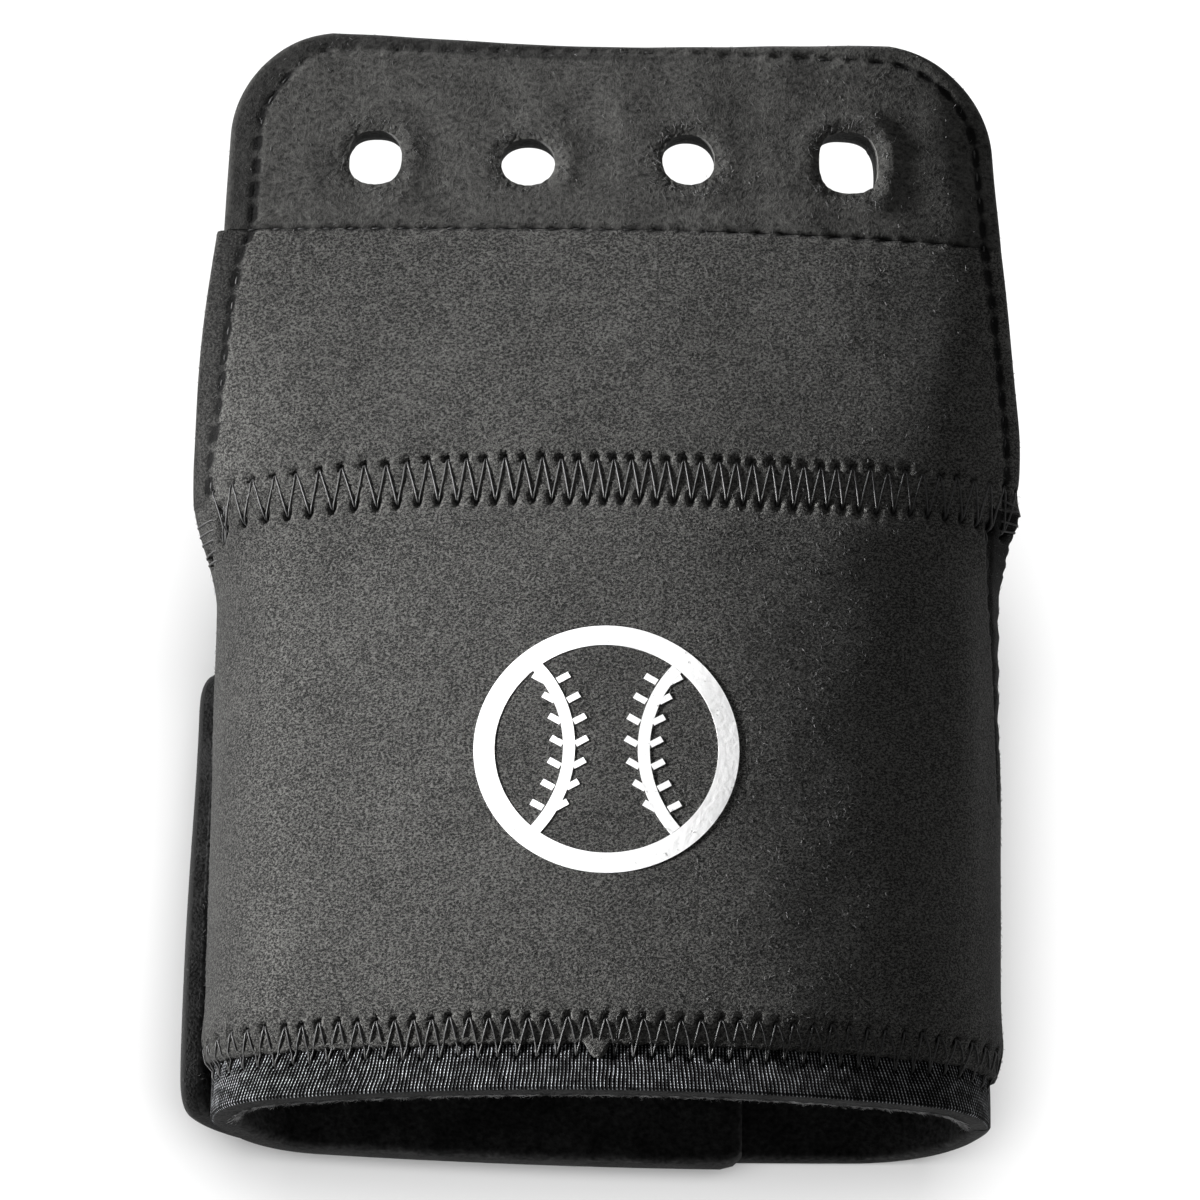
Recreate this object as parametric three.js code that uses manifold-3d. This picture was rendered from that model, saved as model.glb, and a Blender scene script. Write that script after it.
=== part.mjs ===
// A catcher's wrist guard: a neoprene cuff closed by a wide strap, with a laced flap above it.
// It lies on its strap. The tube of the cuff runs along Y, its front faces +Z and it rests on Z = 0.
// Every piece is a cloth wall that was cut flat and wrapped: S runs round the cuff from the middle
// of its front, Y runs from the rim up to the flap, and H is the height above the knit face.
// Millimetres.
import * as THREE from "three";
import { mergeVertices } from "three/addons/utils/BufferGeometryUtils.js";
import Module from "manifold-3d";

const wasm = await Module();
wasm.setup();

// Thicknesses
const SLEEVE_WALL = 3.5; // knit-faced neoprene with a pile lining
const SUEDE_WALL = 1.6; // brushed suede on thin foam
const STRAP_WALL = 2.6;
const HOOK_WALL = 0.8;
const GAP = 0.3; // between pieces that are sewn or pressed together

// Section of the cuff, over its knit faces
const CUFF_WIDTH = 87;
const CUFF_DEPTH = 27;
const SIDE_RADIUS = 11;

// Heights above the front rim, along Y
const HEM = 4.5; // lower edge of the front panel
const WING_TOP = 58; // upper edge of the wing that closes the back
const WAIST = 71; // seam between the cuff and the flap
const LACE_SEAM = 101.5; // seam between the flap and the lace strip
const HOLE_ROW = 109.7;
const FLAP_TOP = 126.3;
const REST_CENTRE = 27; // the origin lies this far above the rim, in the middle of the strap

// Front panel: its reach along S to each side, and how far its padding swells between the seams
const PANEL_LEFT = 49;
const PANEL_RIGHT = 49.6;
const PANEL_RIGHT_AT_WAIST = 48.2;
const PANEL_NARROWS_FROM = 40; // height above which its right edge draws in
const PANEL_SWELL = 1.1;
const SWELL_LEAN = 1.4; // over 1, the crest of the swell lies above the middle

// Left wing of the sleeve
const WING_PAST_CENTRE = 16; // it ends this far past the middle of the back
const WING_DROP = 2.3; // its lower edge sinks this far below the rim
const WING_CLIP = 1.4; // its lower corner is clipped
const WING_FILLET = 7; // radius between its upper edge and the cuff's left side
const WING_START = PANEL_LEFT + 1.5; // where that fillet starts, past the front panel

// Flap: half widths along S at each height, and its top edge
const FLAP_ROWS = [
  { height: WAIST, left: 49.4, right: 48.6 },
  { height: LACE_SEAM, left: 44.8, right: 45 },
  { height: FLAP_TOP, left: 43.8, right: 42.9 },
];
const FLAP_STEP = 0.8; // the flap stands out this far past the left end of the lace strip
const SHELL_INSET = 0.4; // the flap's front layer is cut this much smaller than its lining
const TOP_CORNER = 13;
const TOP_SCOOP = 1.8; // hollow of the top edge between its corners

// Lace holes: a quarter-inch punch
const HOLE_DIAMETER = 6.35;
const HOLE_SIDES = 16;
const PUNCH_LENGTH = 20; // it passes well through both layers of the flap
const HOLE_PLACES = [-26.9, -9.5, 9, 27.1];

// Strap
const STRAP_TOP_AT_SEAM = 57;
const STRAP_TOP_AT_END = 55.5;
const STRAP_CORNER = 6;
const STRAP_BOW = 0.6; // its lower edge hangs this far below the rim in the middle of the back
const STRAP_RISE = 2; // and ends this far above the rim
const STRAP_RISE_LATE = 4; // power by which that rise comes late, near the end
const STRAP_END_LOW = 3; // angle of its end above the widest point of the cuff, in degrees, at the rim
const STRAP_END_HIGH = -13; // and at its upper corner
const STRAP_SKEW_FROM = 8; // height above which the end draws back
const STRAP_FLARE = 0.3; // the lower corner of the end stands off this far
const HOOK_LENGTH = 34;
const HOOK_MARGIN = 7;
const LAP_GAP = HOOK_WALL + 2 * GAP; // room between the left wing and the strap

// Lengths of the facets along S and Y
const FINE_STEP = 2.2; // round the tight sides
const FRONT_STEP = 4.6;
const BACK_STEP = 8;
const ROW_STEP = 10; // up the straight tube
const CURL_STEP = 2; // where the cuff uncurls
const FLAP_ROW_STEP = 6;
const FLAP_COLUMNS = 24;
const PANEL_COLUMNS = 36;
const STRAP_ROWS = 8;
const HOOK_ROWS = 4;
const CORNER_STEPS = 6;

const DEGREE = Math.PI / 180;
const RIGHT_ANGLE = Math.PI / 2;
const lerp = THREE.MathUtils.lerp;
const clamp = THREE.MathUtils.clamp;
const smooth = THREE.MathUtils.smoothstep;

// The cuff's section is a chain of tangent arcs: a wide one over the front, a tight one at each side.
const sideX = CUFF_WIDTH / 2 - SIDE_RADIUS;
const frontRadius = (sideX ** 2 / (CUFF_DEPTH - 2 * SIDE_RADIUS) + CUFF_DEPTH) / 2;
const frontAngle = Math.asin(sideX / (frontRadius - SIDE_RADIUS));
const frontReach = frontRadius * frontAngle;
const sideReach = frontReach + SIDE_RADIUS * (RIGHT_ANGLE - frontAngle);
const backReach = frontReach + SIDE_RADIUS * (Math.PI - frontAngle);
const wingReach = backReach + sideX + WING_PAST_CENTRE;
const backHeight = STRAP_WALL + LAP_GAP; // knit face of the left wing, above the floor
const sideHeight = backHeight + SIDE_RADIUS;
const frontHeight = backHeight + CUFF_DEPTH;

// The section is curled fully in the closed tube. It uncurls in two stretches, and the flap's left side
// ends nearly flat, while its right side stays bent down.
const UNCURLING = [
  { from: WING_TOP + 2, to: WAIST + 2, left: 0.34, right: 0.28 },
  { from: WAIST - 1, to: HOLE_ROW, left: 0.56, right: 0.12 },
];

function curlAt(s, y) {
  const side = s < 0 ? "left" : "right";
  return UNCURLING.reduce((curl, stretch) => curl - stretch[side] * smooth(y, stretch.from, stretch.to), 1);
}

// A point of the cuff or the flap, from its place on the flat cloth.
function onCuff(s, y, h) {
  const side = Math.sign(s) || 1;
  const reach = Math.abs(s);
  const curl = curlAt(s, y);
  const inFront = Math.min(reach, frontReach);
  const inSide = clamp(reach - frontReach, 0, backReach - frontReach);
  const inBack = Math.max(reach - backReach, 0);
  const angle1 = (curl * inFront) / frontRadius;
  const angle2 = angle1 + (curl * inSide) / SIDE_RADIUS;
  const wide = frontRadius / curl;
  const tight = SIDE_RADIUS / curl;
  const x =
    wide * Math.sin(angle1) +
    tight * (Math.sin(angle2) - Math.sin(angle1)) +
    inBack * Math.cos(angle2) +
    h * Math.sin(angle2);
  const drop =
    wide * (1 - Math.cos(angle1)) +
    tight * (Math.cos(angle1) - Math.cos(angle2)) +
    inBack * Math.sin(angle2);
  return [side * x, y - REST_CENTRE, frontHeight - drop + h * Math.cos(angle2)];
}

// The strap leaves the cuff's right side, rolls under the back and comes up the left side.
const cornerReach = sideHeight * RIGHT_ANGLE;
const cornerX = CUFF_WIDTH / 2 - sideHeight;
const strapBack = cornerX + sideX;

function onStrap(s, y, h) {
  const radius = sideHeight + h;
  if (s < cornerReach) {
    const angle = s / sideHeight;
    return [cornerX + radius * Math.cos(angle), y - REST_CENTRE, sideHeight - radius * Math.sin(angle)];
  }
  if (s < cornerReach + strapBack) {
    return [cornerX + cornerReach - s, y - REST_CENTRE, -h];
  }
  const angle = (s - cornerReach - strapBack) / sideHeight;
  const flare = STRAP_FLARE * clamp(1 - y / STRAP_TOP_AT_END, 0, 1) * (1 - Math.cos(angle));
  const x = -sideX - radius * Math.sin(angle) - flare;
  return [x, y - REST_CENTRE, sideHeight - radius * Math.cos(angle)];
}

// Evenly spaced shares of a stretch, each end included.
function evenShares(count) {
  return Array.from({ length: count + 1 }, (_, i) => i / count);
}

// Places along a stretch that stop at each mark, with the step that the mark gives before it.
function stations(from, to, marks, step) {
  const inner = marks.filter((mark) => mark.at > from && mark.at < to);
  const places = [from];
  for (const stop of [...inner, { at: to, step }]) {
    const start = places.at(-1);
    const count = Math.max(1, Math.round((stop.at - start) / stop.step));
    for (let i = 1; i <= count; i++) places.push(lerp(start, stop.at, i / count));
  }
  return places;
}

// A closed wall over a grid of places. place(column, row) gives [s, y], lower and upper its two heights.
function wall(columns, rows, place, wrap, lower, upper) {
  const across = columns.length;
  const along = rows.length;
  const points = [];
  for (const height of [lower, upper]) {
    for (const row of rows) {
      for (const column of columns) {
        const [s, y] = place(column, row);
        points.push(...wrap(s, y, height(s, y)));
      }
    }
  }
  const index = [];
  const at = (layer, j, i) => (layer * along + j) * across + i;
  const quad = (a, b, c, d) => index.push(a, b, c, a, c, d);
  for (let j = 0; j + 1 < along; j++) {
    for (let i = 0; i + 1 < across; i++) {
      quad(at(1, j, i), at(1, j, i + 1), at(1, j + 1, i + 1), at(1, j + 1, i));
      quad(at(0, j, i), at(0, j + 1, i), at(0, j + 1, i + 1), at(0, j, i + 1));
    }
    quad(at(0, j, 0), at(1, j, 0), at(1, j + 1, 0), at(0, j + 1, 0));
    quad(at(0, j, across - 1), at(0, j + 1, across - 1), at(1, j + 1, across - 1), at(1, j, across - 1));
  }
  for (let i = 0; i + 1 < across; i++) {
    quad(at(0, 0, i), at(0, 0, i + 1), at(1, 0, i + 1), at(1, 0, i));
    quad(at(0, along - 1, i), at(1, along - 1, i), at(1, along - 1, i + 1), at(0, along - 1, i + 1));
  }
  const geometry = new THREE.BufferGeometry();
  geometry.setAttribute("position", new THREE.Float32BufferAttribute(points, 3));
  geometry.setIndex(index);
  return geometry;
}

// A geometry as a solid that can be cut, and back again.
function solidOf(geometry) {
  const bare = geometry.clone();
  bare.deleteAttribute("normal");
  bare.deleteAttribute("uv");
  const merged = mergeVertices(bare);
  return new wasm.Manifold(
    new wasm.Mesh({
      numProp: 3,
      vertProperties: merged.attributes.position.array,
      triVerts: new Uint32Array(merged.index.array),
    }),
  );
}

function geometryOf(solid) {
  const mesh = solid.getMesh();
  const geometry = new THREE.BufferGeometry();
  geometry.setAttribute("position", new THREE.BufferAttribute(mesh.vertProperties, mesh.numProp));
  geometry.setIndex(new THREE.BufferAttribute(mesh.triVerts, 1));
  return geometry;
}

// Punches the row of lace holes through a wall of the flap, square to its face.
function punched(geometry) {
  let solid = solidOf(geometry);
  const radius = HOLE_DIAMETER / 2;
  for (const place of HOLE_PLACES) {
    const low = new THREE.Vector3(...onCuff(place, HOLE_ROW, 0));
    const high = new THREE.Vector3(...onCuff(place, HOLE_ROW, 1));
    const axis = high.clone().sub(low).normalize();
    const punch = new THREE.CylinderGeometry(radius, radius, PUNCH_LENGTH, HOLE_SIDES);
    punch.applyQuaternion(new THREE.Quaternion().setFromUnitVectors(new THREE.Vector3(0, 1, 0), axis));
    punch.translate(low.x, low.y, low.z);
    solid = solid.subtract(solidOf(punch));
  }
  return geometryOf(solid);
}

const flat = (height) => () => height;

// Rows of the cuff's walls, closer together where it uncurls
const CUFF_ROWS = stations(0, WAIST - GAP / 2, [{ at: UNCURLING[0].from, step: ROW_STEP }], CURL_STEP);

// Marks along S where the section's arcs meet, each with the step used before it
const CUFF_MARKS = [
  { at: WING_CLIP - wingReach, step: FINE_STEP },
  { at: -backReach, step: BACK_STEP },
  { at: -WING_START - WING_FILLET, step: FINE_STEP },
  { at: -WING_START, step: FINE_STEP / 2 },
  { at: -frontReach, step: FINE_STEP },
  { at: frontReach, step: FRONT_STEP },
];

// Sleeve: the knit-faced inner layer. It forms the front, both sides and the left wing of the back.
function sleeveTop(s) {
  const past = clamp((-s - WING_START) / WING_FILLET, 0, 1);
  const hollow = 1 - Math.sqrt(1 - (1 - past) ** 2);
  return lerp(WING_TOP, WAIST - GAP / 2, hollow);
}

function sleeveBottom(s) {
  const past = clamp((-s - sideReach) / (wingReach - sideReach), 0, 1);
  const clip = clamp(WING_CLIP - wingReach - s, 0, WING_CLIP);
  return clip - WING_DROP * (1 - (1 - past) ** 2);
}

function cuffSleeve() {
  const columns = stations(-wingReach, sideReach - GAP / 2, CUFF_MARKS, FINE_STEP);
  const place = (s, row) => [s, lerp(sleeveBottom(s), sleeveTop(s), row / CUFF_ROWS.at(-1))];
  return wall(columns, CUFF_ROWS, place, onCuff, flat(-SLEEVE_WALL), flat(0));
}

// Front panel: suede over the cuff, sewn down at the hem and the waist. It is padded, so it swells.
function panelRight(y) {
  return lerp(PANEL_RIGHT, PANEL_RIGHT_AT_WAIST, smooth(y, PANEL_NARROWS_FROM, WAIST));
}

function panelFace(s, y) {
  const up = (y - HEM) / (WAIST - HEM);
  const across = Math.max(1 - (s / PANEL_LEFT) ** 2, 0);
  return GAP + SUEDE_WALL + PANEL_SWELL * across * Math.sin(Math.PI * up ** SWELL_LEAN);
}

function frontPanel() {
  const columns = evenShares(PANEL_COLUMNS).map((share) => 2 * share - 1);
  const rows = [HEM, ...CUFF_ROWS.filter((y) => y > HEM)];
  const place = (across, y) => [across < 0 ? across * PANEL_LEFT : across * panelRight(y), y];
  return wall(columns, rows, place, onCuff, flat(GAP), panelFace);
}

// Flap: its edges follow the table of rows, with round corners at the top.
function flapEdge(y, side) {
  const next = FLAP_ROWS.find((row) => row.height >= y) ?? FLAP_ROWS.at(-1);
  const last = FLAP_ROWS[Math.max(FLAP_ROWS.indexOf(next) - 1, 0)];
  const share = next === last ? 0 : (y - last.height) / (next.height - last.height);
  const rise = clamp((y - FLAP_TOP + TOP_CORNER) / TOP_CORNER, 0, 1);
  const corner = TOP_CORNER * (1 - Math.sqrt(1 - rise ** 2));
  const step = side === "left" && y < LACE_SEAM ? FLAP_STEP : 0;
  return lerp(last[side], next[side], share) - corner + step;
}

// The top edge is cut a little hollow.
function trimmed(s, y) {
  const half = FLAP_ROWS.at(-1).left;
  const dip = Math.cos((RIGHT_ANGLE * s) / half) ** 2;
  return y - TOP_SCOOP * dip * smooth(y, HOLE_ROW + HOLE_DIAMETER, FLAP_TOP);
}

function flapWall(bottom, top, inset, lower, upper) {
  const cornerStart = FLAP_TOP - TOP_CORNER;
  const stops = [LACE_SEAM - GAP / 2, LACE_SEAM + GAP / 2, cornerStart];
  const marks = stops.map((at) => ({ at, step: FLAP_ROW_STEP }));
  const rows = stations(bottom, Math.min(top, cornerStart), marks, FLAP_ROW_STEP);
  if (top > cornerStart) {
    for (const share of evenShares(CORNER_STEPS).slice(1)) {
      rows.push(lerp(cornerStart, top, Math.sin(share * RIGHT_ANGLE)));
    }
  }
  const place = (share, y) => {
    const s = lerp(inset - flapEdge(y, "left"), flapEdge(y, "right") - inset, share);
    return [s, trimmed(s, y)];
  };
  return wall(evenShares(FLAP_COLUMNS), rows, place, onCuff, flat(lower), flat(upper));
}

// Lining: the back layer of the whole flap. Shell and strip: its two suede front layers.
function flapLining() {
  return punched(flapWall(WAIST + GAP / 2, FLAP_TOP, 0, -SLEEVE_WALL, 0));
}

function flapShell() {
  return flapWall(WAIST + GAP / 2, LACE_SEAM - GAP / 2, SHELL_INSET, GAP, GAP + SUEDE_WALL);
}

function laceStrip() {
  return punched(flapWall(LACE_SEAM + GAP / 2, FLAP_TOP - SHELL_INSET, SHELL_INSET, GAP, GAP + SUEDE_WALL));
}

// Strap: butted to the sleeve at the right side seam, with a round-cornered end on the left.
const STRAP_MARKS = [
  { at: cornerReach, step: FINE_STEP },
  { at: cornerReach + strapBack, step: BACK_STEP },
];

function strapEnd(y) {
  const share = smooth(y, STRAP_SKEW_FROM, STRAP_TOP_AT_END - STRAP_CORNER);
  const angle = lerp(STRAP_END_LOW, STRAP_END_HIGH, share) * DEGREE;
  return cornerReach + strapBack + sideHeight * (RIGHT_ANGLE + angle);
}

const strapLength = strapEnd(STRAP_TOP_AT_END);

function strapTop(s) {
  return lerp(STRAP_TOP_AT_SEAM, STRAP_TOP_AT_END, clamp(s / strapLength, 0, 1));
}

function strapBottom(s) {
  const share = clamp(s / strapLength, 0, 1);
  const bow = STRAP_BOW * (1 - (2 * share - 1) ** 2);
  return STRAP_RISE * share ** STRAP_RISE_LATE - bow;
}

function closureStrap() {
  const straight = strapLength - STRAP_CORNER;
  const columns = stations(GAP / 2, straight, STRAP_MARKS, FINE_STEP / 2).map((s) => ({ s, turn: 0 }));
  for (const share of evenShares(CORNER_STEPS).slice(1)) {
    columns.push({ s: straight, turn: share * RIGHT_ANGLE });
  }
  const place = ({ s, turn }, share) => {
    const cut = STRAP_CORNER * (1 - Math.cos(turn));
    const y = lerp(strapBottom(s) + cut, strapTop(s) - cut, share);
    const skew = (strapEnd(y) - strapLength) * smooth(s, cornerReach + strapBack, straight);
    return [s + STRAP_CORNER * Math.sin(turn) + skew, y];
  };
  return wall(columns, evenShares(STRAP_ROWS), place, onStrap, flat(-STRAP_WALL), flat(0));
}

// Hook tab: the fastener sewn inside the strap's end, which grips the left wing.
function hookTab() {
  const end = strapLength - HOOK_MARGIN;
  const columns = stations(end - HOOK_LENGTH, end, STRAP_MARKS, FINE_STEP);
  const place = (s, share) => [s, lerp(HOOK_MARGIN, STRAP_TOP_AT_END - HOOK_MARGIN, share)];
  const face = -STRAP_WALL - GAP;
  return wall(columns, evenShares(HOOK_ROWS), place, onStrap, flat(face - HOOK_WALL), flat(face));
}

// Finishes
const cloth = (color, roughness) => new THREE.MeshStandardMaterial({ color, roughness, metalness: 0 });
const SUEDE = cloth(0x4a4946, 0.95);
const STRIP_SUEDE = cloth(0x42413f, 0.95);
const KNIT = cloth(0x2c2d2f, 0.85);
const STRAP_KNIT = cloth(0x2a2a2b, 0.85);
const HOOK = cloth(0x151515, 0.7);

const PIECES = [
  ["cuff_sleeve", cuffSleeve, KNIT],
  ["closure_strap", closureStrap, STRAP_KNIT],
  ["hook_tab", hookTab, HOOK],
  ["front_panel", frontPanel, SUEDE],
  ["flap_lining", flapLining, KNIT],
  ["flap_shell", flapShell, SUEDE],
  ["lace_strip", laceStrip, STRIP_SUEDE],
];

const wristGuard = new THREE.Group();
for (const [name, make, material] of PIECES) {
  const mesh = new THREE.Mesh(make(), material);
  mesh.name = name;
  wristGuard.add(mesh);
}

export default wristGuard;
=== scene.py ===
import math

import bpy
import numpy as np
from mathutils import Matrix


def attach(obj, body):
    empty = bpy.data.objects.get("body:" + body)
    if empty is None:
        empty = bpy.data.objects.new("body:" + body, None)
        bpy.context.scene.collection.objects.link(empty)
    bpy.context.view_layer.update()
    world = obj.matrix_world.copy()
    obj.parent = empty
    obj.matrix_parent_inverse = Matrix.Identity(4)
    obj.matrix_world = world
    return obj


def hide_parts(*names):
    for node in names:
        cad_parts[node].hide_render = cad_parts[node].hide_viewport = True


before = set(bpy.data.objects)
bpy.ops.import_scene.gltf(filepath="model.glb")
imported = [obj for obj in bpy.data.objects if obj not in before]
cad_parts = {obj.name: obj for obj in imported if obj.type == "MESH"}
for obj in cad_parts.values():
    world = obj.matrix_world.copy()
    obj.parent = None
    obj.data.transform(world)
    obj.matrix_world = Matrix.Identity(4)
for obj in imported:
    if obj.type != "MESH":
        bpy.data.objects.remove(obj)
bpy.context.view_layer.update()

# Cuff sleeve: the inner layer, neoprene foam with a knit face outside and a brushed pile inside.
# It is cut flat, wrapped round the wrist under the suede, and runs on as the left wing that closes the back.
# On the flat cloth, in millimetres, S runs round the cuff, Y up from the rim and H above the knit face.
MM = 0.001
SLEEVE_WALL = 3.5
STRAP_WALL = 2.6
LAP_GAP = 1.4
SEAM_GAP = 0.3
CUFF_WIDTH = 87
CUFF_DEPTH = 27
SIDE_RADIUS = 11
WING_TOP = 58
WAIST = 71
HOLE_ROW = 109.7
REST_CENTRE = 27
WING_PAST_CENTRE = 16
WING_DROP = 2.3
WING_CLIP = 1.4
WING_FILLET = 7
WING_START = 50.5
# Up the cuff the cloth's curl is let out in two steps, by these shares at the left and the right.
UNCURLING = [
    {"start": WING_TOP + 2, "end": WAIST + 2, "left": 0.34, "right": 0.28},
    {"start": WAIST - 1, "end": HOLE_ROW, "left": 0.56, "right": 0.12},
]
HEM = 4.5
# A zigzag reaches above and below its line. Its pitch, lean and bow drift from its left end to its right,
# and a pit is given by its width, its height and how far up it is shifted.
HEM_SEAM = {
    "above": 3.5, "below": 0.75, "start": -47.9, "end": 47.8, "pitch": (2.1, 2.1, 2.1), "lean": (0.1, 0.85),
    "bow": (0.0, 0.5), "top_pit": (0.24, 0.55, -0.35), "low_pit": (0.26, 0.42, 0.15), "sag": 0.0,
}
PITCH_DRIFT = 0.08
HOLE_DRIFT = 0.15
SAG_REACH = (15, 46)
PIT_REACH = 4
NEAREST_BATCH = 1500
# A needle hole pulls the knit in by its depth, and shade is painted into it by its dark share.
KNIT_PIT = {"deep": 0.6, "dark": 0.85}
HEM_SEWN = 48.5
CUT_EDGE = 0.35
PILE_EDGE = 0.9
RAGGED_PILE = {"raise": 0.18, "over": 0.8, "waves": (3.7, 1.9, 0.6)}
BEND_EASE = 4
FLAP_EASE = 5
FLAP_FLAT = 3
FLAP_BENDS = (WAIST - 5, WAIST + 12)
RIM_FLARE = {"left": 0.9, "right": 0.5, "heights": (3, 15), "reach": (34, 46), "fades": 6}

side_x = CUFF_WIDTH / 2 - SIDE_RADIUS
front_radius = (side_x**2 / (CUFF_DEPTH - 2 * SIDE_RADIUS) + CUFF_DEPTH) / 2
front_angle = math.asin(side_x / (front_radius - SIDE_RADIUS))
front_reach = front_radius * front_angle
side_reach = front_reach + SIDE_RADIUS * (math.pi / 2 - front_angle)
back_reach = front_reach + SIDE_RADIUS * (math.pi - front_angle)
wing_reach = back_reach + side_x + WING_PAST_CENTRE
back_height = STRAP_WALL + LAP_GAP
side_height = back_height + SIDE_RADIUS
front_height = back_height + CUFF_DEPTH


def mix(one, other, share):
    """A value part of the way from one to the other."""
    return one + (other - one) * share


def smooth(value, start, end):
    """A soft step from 0 to 1 between two values."""
    share = np.clip((value - start) / (end - start), 0, 1)
    return share * share * (3 - 2 * share)


def rim_flare(y):
    """How much the sides stand out near the rim, from 0 to 1."""
    return 1 - smooth(y, *RIM_FLARE["heights"])


def on_cuff(s, y, h):
    """Points of the cuff or the flap in the frame, from their places on the flat cloth."""
    reach = np.abs(s)
    curl = 1.0
    for row in UNCURLING:
        curl = curl - np.where(s < 0, row["left"], row["right"]) * smooth(y, row["start"], row["end"])
    in_flap = smooth(y, *FLAP_BENDS)
    bend_at = front_reach + np.where(s < 0, 0, FLAP_FLAT) * in_flap
    ease = mix(BEND_EASE, FLAP_EASE, in_flap)
    past_bend = np.clip(reach - bend_at, -ease, ease)
    before = (ease + np.minimum(past_bend, 0)) ** 3
    after = 2 * ease**3 - (ease - np.maximum(past_bend, 0)) ** 3
    sharper = curl * (1 / SIDE_RADIUS - 1 / front_radius)
    h = h - sharper * np.where(past_bend < 0, before, after) / (12 * ease)
    flare = np.where(s < 0, RIM_FLARE["left"], RIM_FLARE["right"]) * rim_flare(y)
    flare = flare * smooth(reach, *RIM_FLARE["reach"])
    h = h + flare * (1 - smooth(reach, side_reach, side_reach + RIM_FLARE["fades"]))
    in_back = np.maximum(reach - back_reach, 0)
    front_turn = curl * np.minimum(reach, bend_at) / front_radius
    turn = front_turn + curl * np.clip(reach - bend_at, 0, back_reach - front_reach) / SIDE_RADIUS
    wide = front_radius / curl
    tight = SIDE_RADIUS / curl
    x = wide * np.sin(front_turn) + tight * (np.sin(turn) - np.sin(front_turn))
    x = x + in_back * np.cos(turn) + h * np.sin(turn)
    drop = wide * (1 - np.cos(front_turn)) + tight * (np.cos(front_turn) - np.cos(turn))
    drop = drop + in_back * np.sin(turn)
    z = front_height - drop + h * np.cos(turn)
    return MM * np.stack([np.where(s < 0, -x, x), y - REST_CENTRE + 0 * x, z], axis=-1)


def places(start, *stretches):
    """Places along the cloth: each stretch is its end and the step used up to it."""
    line = [start]
    for end, step in stretches:
        count = max(1, round(abs(end - line[-1]) / step))
        line.extend(np.linspace(line[-1], end, count + 1)[1:])
    return np.array(line)


def points_of(piece):
    """A piece's points, as rows of three numbers."""
    points = np.empty(len(piece.data.vertices) * 3)
    piece.data.vertices.foreach_get("co", points)
    return points.reshape(-1, 3)


def set_points(piece, points):
    piece.data.vertices.foreach_set("co", np.asarray(points, np.float32).ravel())
    piece.data.update()


def only(piece):
    """Makes a piece the one that operators act on."""
    bpy.ops.object.select_all(action="DESELECT")
    piece.select_set(True)
    bpy.context.view_layer.objects.active = piece


def flat_cloth(name, columns, rows, place):
    """A flat cut of cloth: a grid whose places on S and Y come from its columns and rows."""
    bpy.ops.object.select_all(action="DESELECT")
    bpy.ops.mesh.primitive_grid_add(x_subdivisions=len(columns) - 1, y_subdivisions=len(rows) - 1)
    piece = bpy.context.object
    piece.name = piece.data.name = name
    column, row = np.meshgrid(columns, rows)
    s, y = place(column.ravel(), row.ravel())
    set_points(piece, np.column_stack([s, y, np.zeros(s.size)]))
    return piece


def outline_of(piece):
    """The two ends of each edge round a flat cut of cloth."""
    mesh = piece.data
    used = np.empty(len(mesh.loops), int)
    mesh.loops.foreach_get("edge_index", used)
    ends = np.empty(len(mesh.edges) * 2, int)
    mesh.edges.foreach_get("vertices", ends)
    outer = np.bincount(used, minlength=len(mesh.edges)) == 1
    return points_of(piece)[ends.reshape(-1, 2)[outer], :2]


def distance_to(lines, flat):
    """How far each flat point lies from the nearest of some straight lines."""
    start = lines[:, 0]
    along = lines[:, 1] - start
    length = np.maximum((along**2).sum(1), 1e-12)
    nearest = []
    for part in np.array_split(flat, len(flat) // NEAREST_BATCH + 1):
        offset = part[:, None] - start
        share = np.clip((offset * along).sum(2) / length, 0, 1)
        nearest.append(((offset - share[..., None] * along) ** 2).sum(2).min(1))
    return np.sqrt(np.concatenate(nearest))


def rounding(edge, radius):
    """How far a soft edge drops, at each distance in from the cut."""
    inward = np.clip(1 - edge / radius, 0, 1)
    return radius * (1 - np.sqrt(1 - inward**2))


def thicken(piece, wall, *finishes):
    """Gives a flat cut its wall, with a finish for its face, its back and its cut edge."""
    for finish in finishes:
        piece.data.materials.append(finish)
    solid = piece.modifiers.new("wall", "SOLIDIFY")
    solid.thickness = wall
    solid.offset = -1
    solid.material_offset = 1
    solid.material_offset_rim = 2
    only(piece)
    bpy.ops.object.modifier_apply(modifier=solid.name)
    used = np.empty(len(piece.data.loops), int)
    piece.data.loops.foreach_get("vertex_index", used)
    flat = points_of(piece)
    cloth = piece.data.uv_layers.get("cloth") or piece.data.uv_layers.new(name="cloth")
    cloth.data.foreach_set("uv", flat[used, :2].astype(np.float32).ravel())
    return flat[:, 0], flat[:, 1], flat[:, 2] > -wall / 2


def finish_piece(piece, slot, *nodes, angle=50):
    """Shades a piece smooth and places it on the frame."""
    only(piece)
    bpy.ops.object.shade_smooth_by_angle(angle=math.radians(angle))
    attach(piece, "root")
    if nodes:
        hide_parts(*nodes)
    return piece


def new_finish(name, **sockets):
    """A new node material, with its shader's own sockets set."""
    finish = bpy.data.materials.new(name)
    finish.use_nodes = True
    shader = finish.node_tree.nodes["Principled BSDF"]
    for socket, value in sockets.items():
        shader.inputs[socket.replace("_", " ")].default_value = value
    return finish, shader


def link(finish, value, socket):
    """Joins a socket to another node's output, or sets it to a value."""
    if isinstance(value, bpy.types.NodeSocket):
        finish.node_tree.links.new(value, socket)
    else:
        socket.default_value = value


def add_node(finish, kind, sockets, **settings):
    """Adds a node to a finish and gives its first output."""
    node = finish.node_tree.nodes.new("ShaderNode" + kind)
    for name, value in settings.items():
        setattr(node, name, value)
    for socket, value in sockets.items():
        link(finish, value, node.inputs[socket])
    return node.outputs[0]


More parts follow.
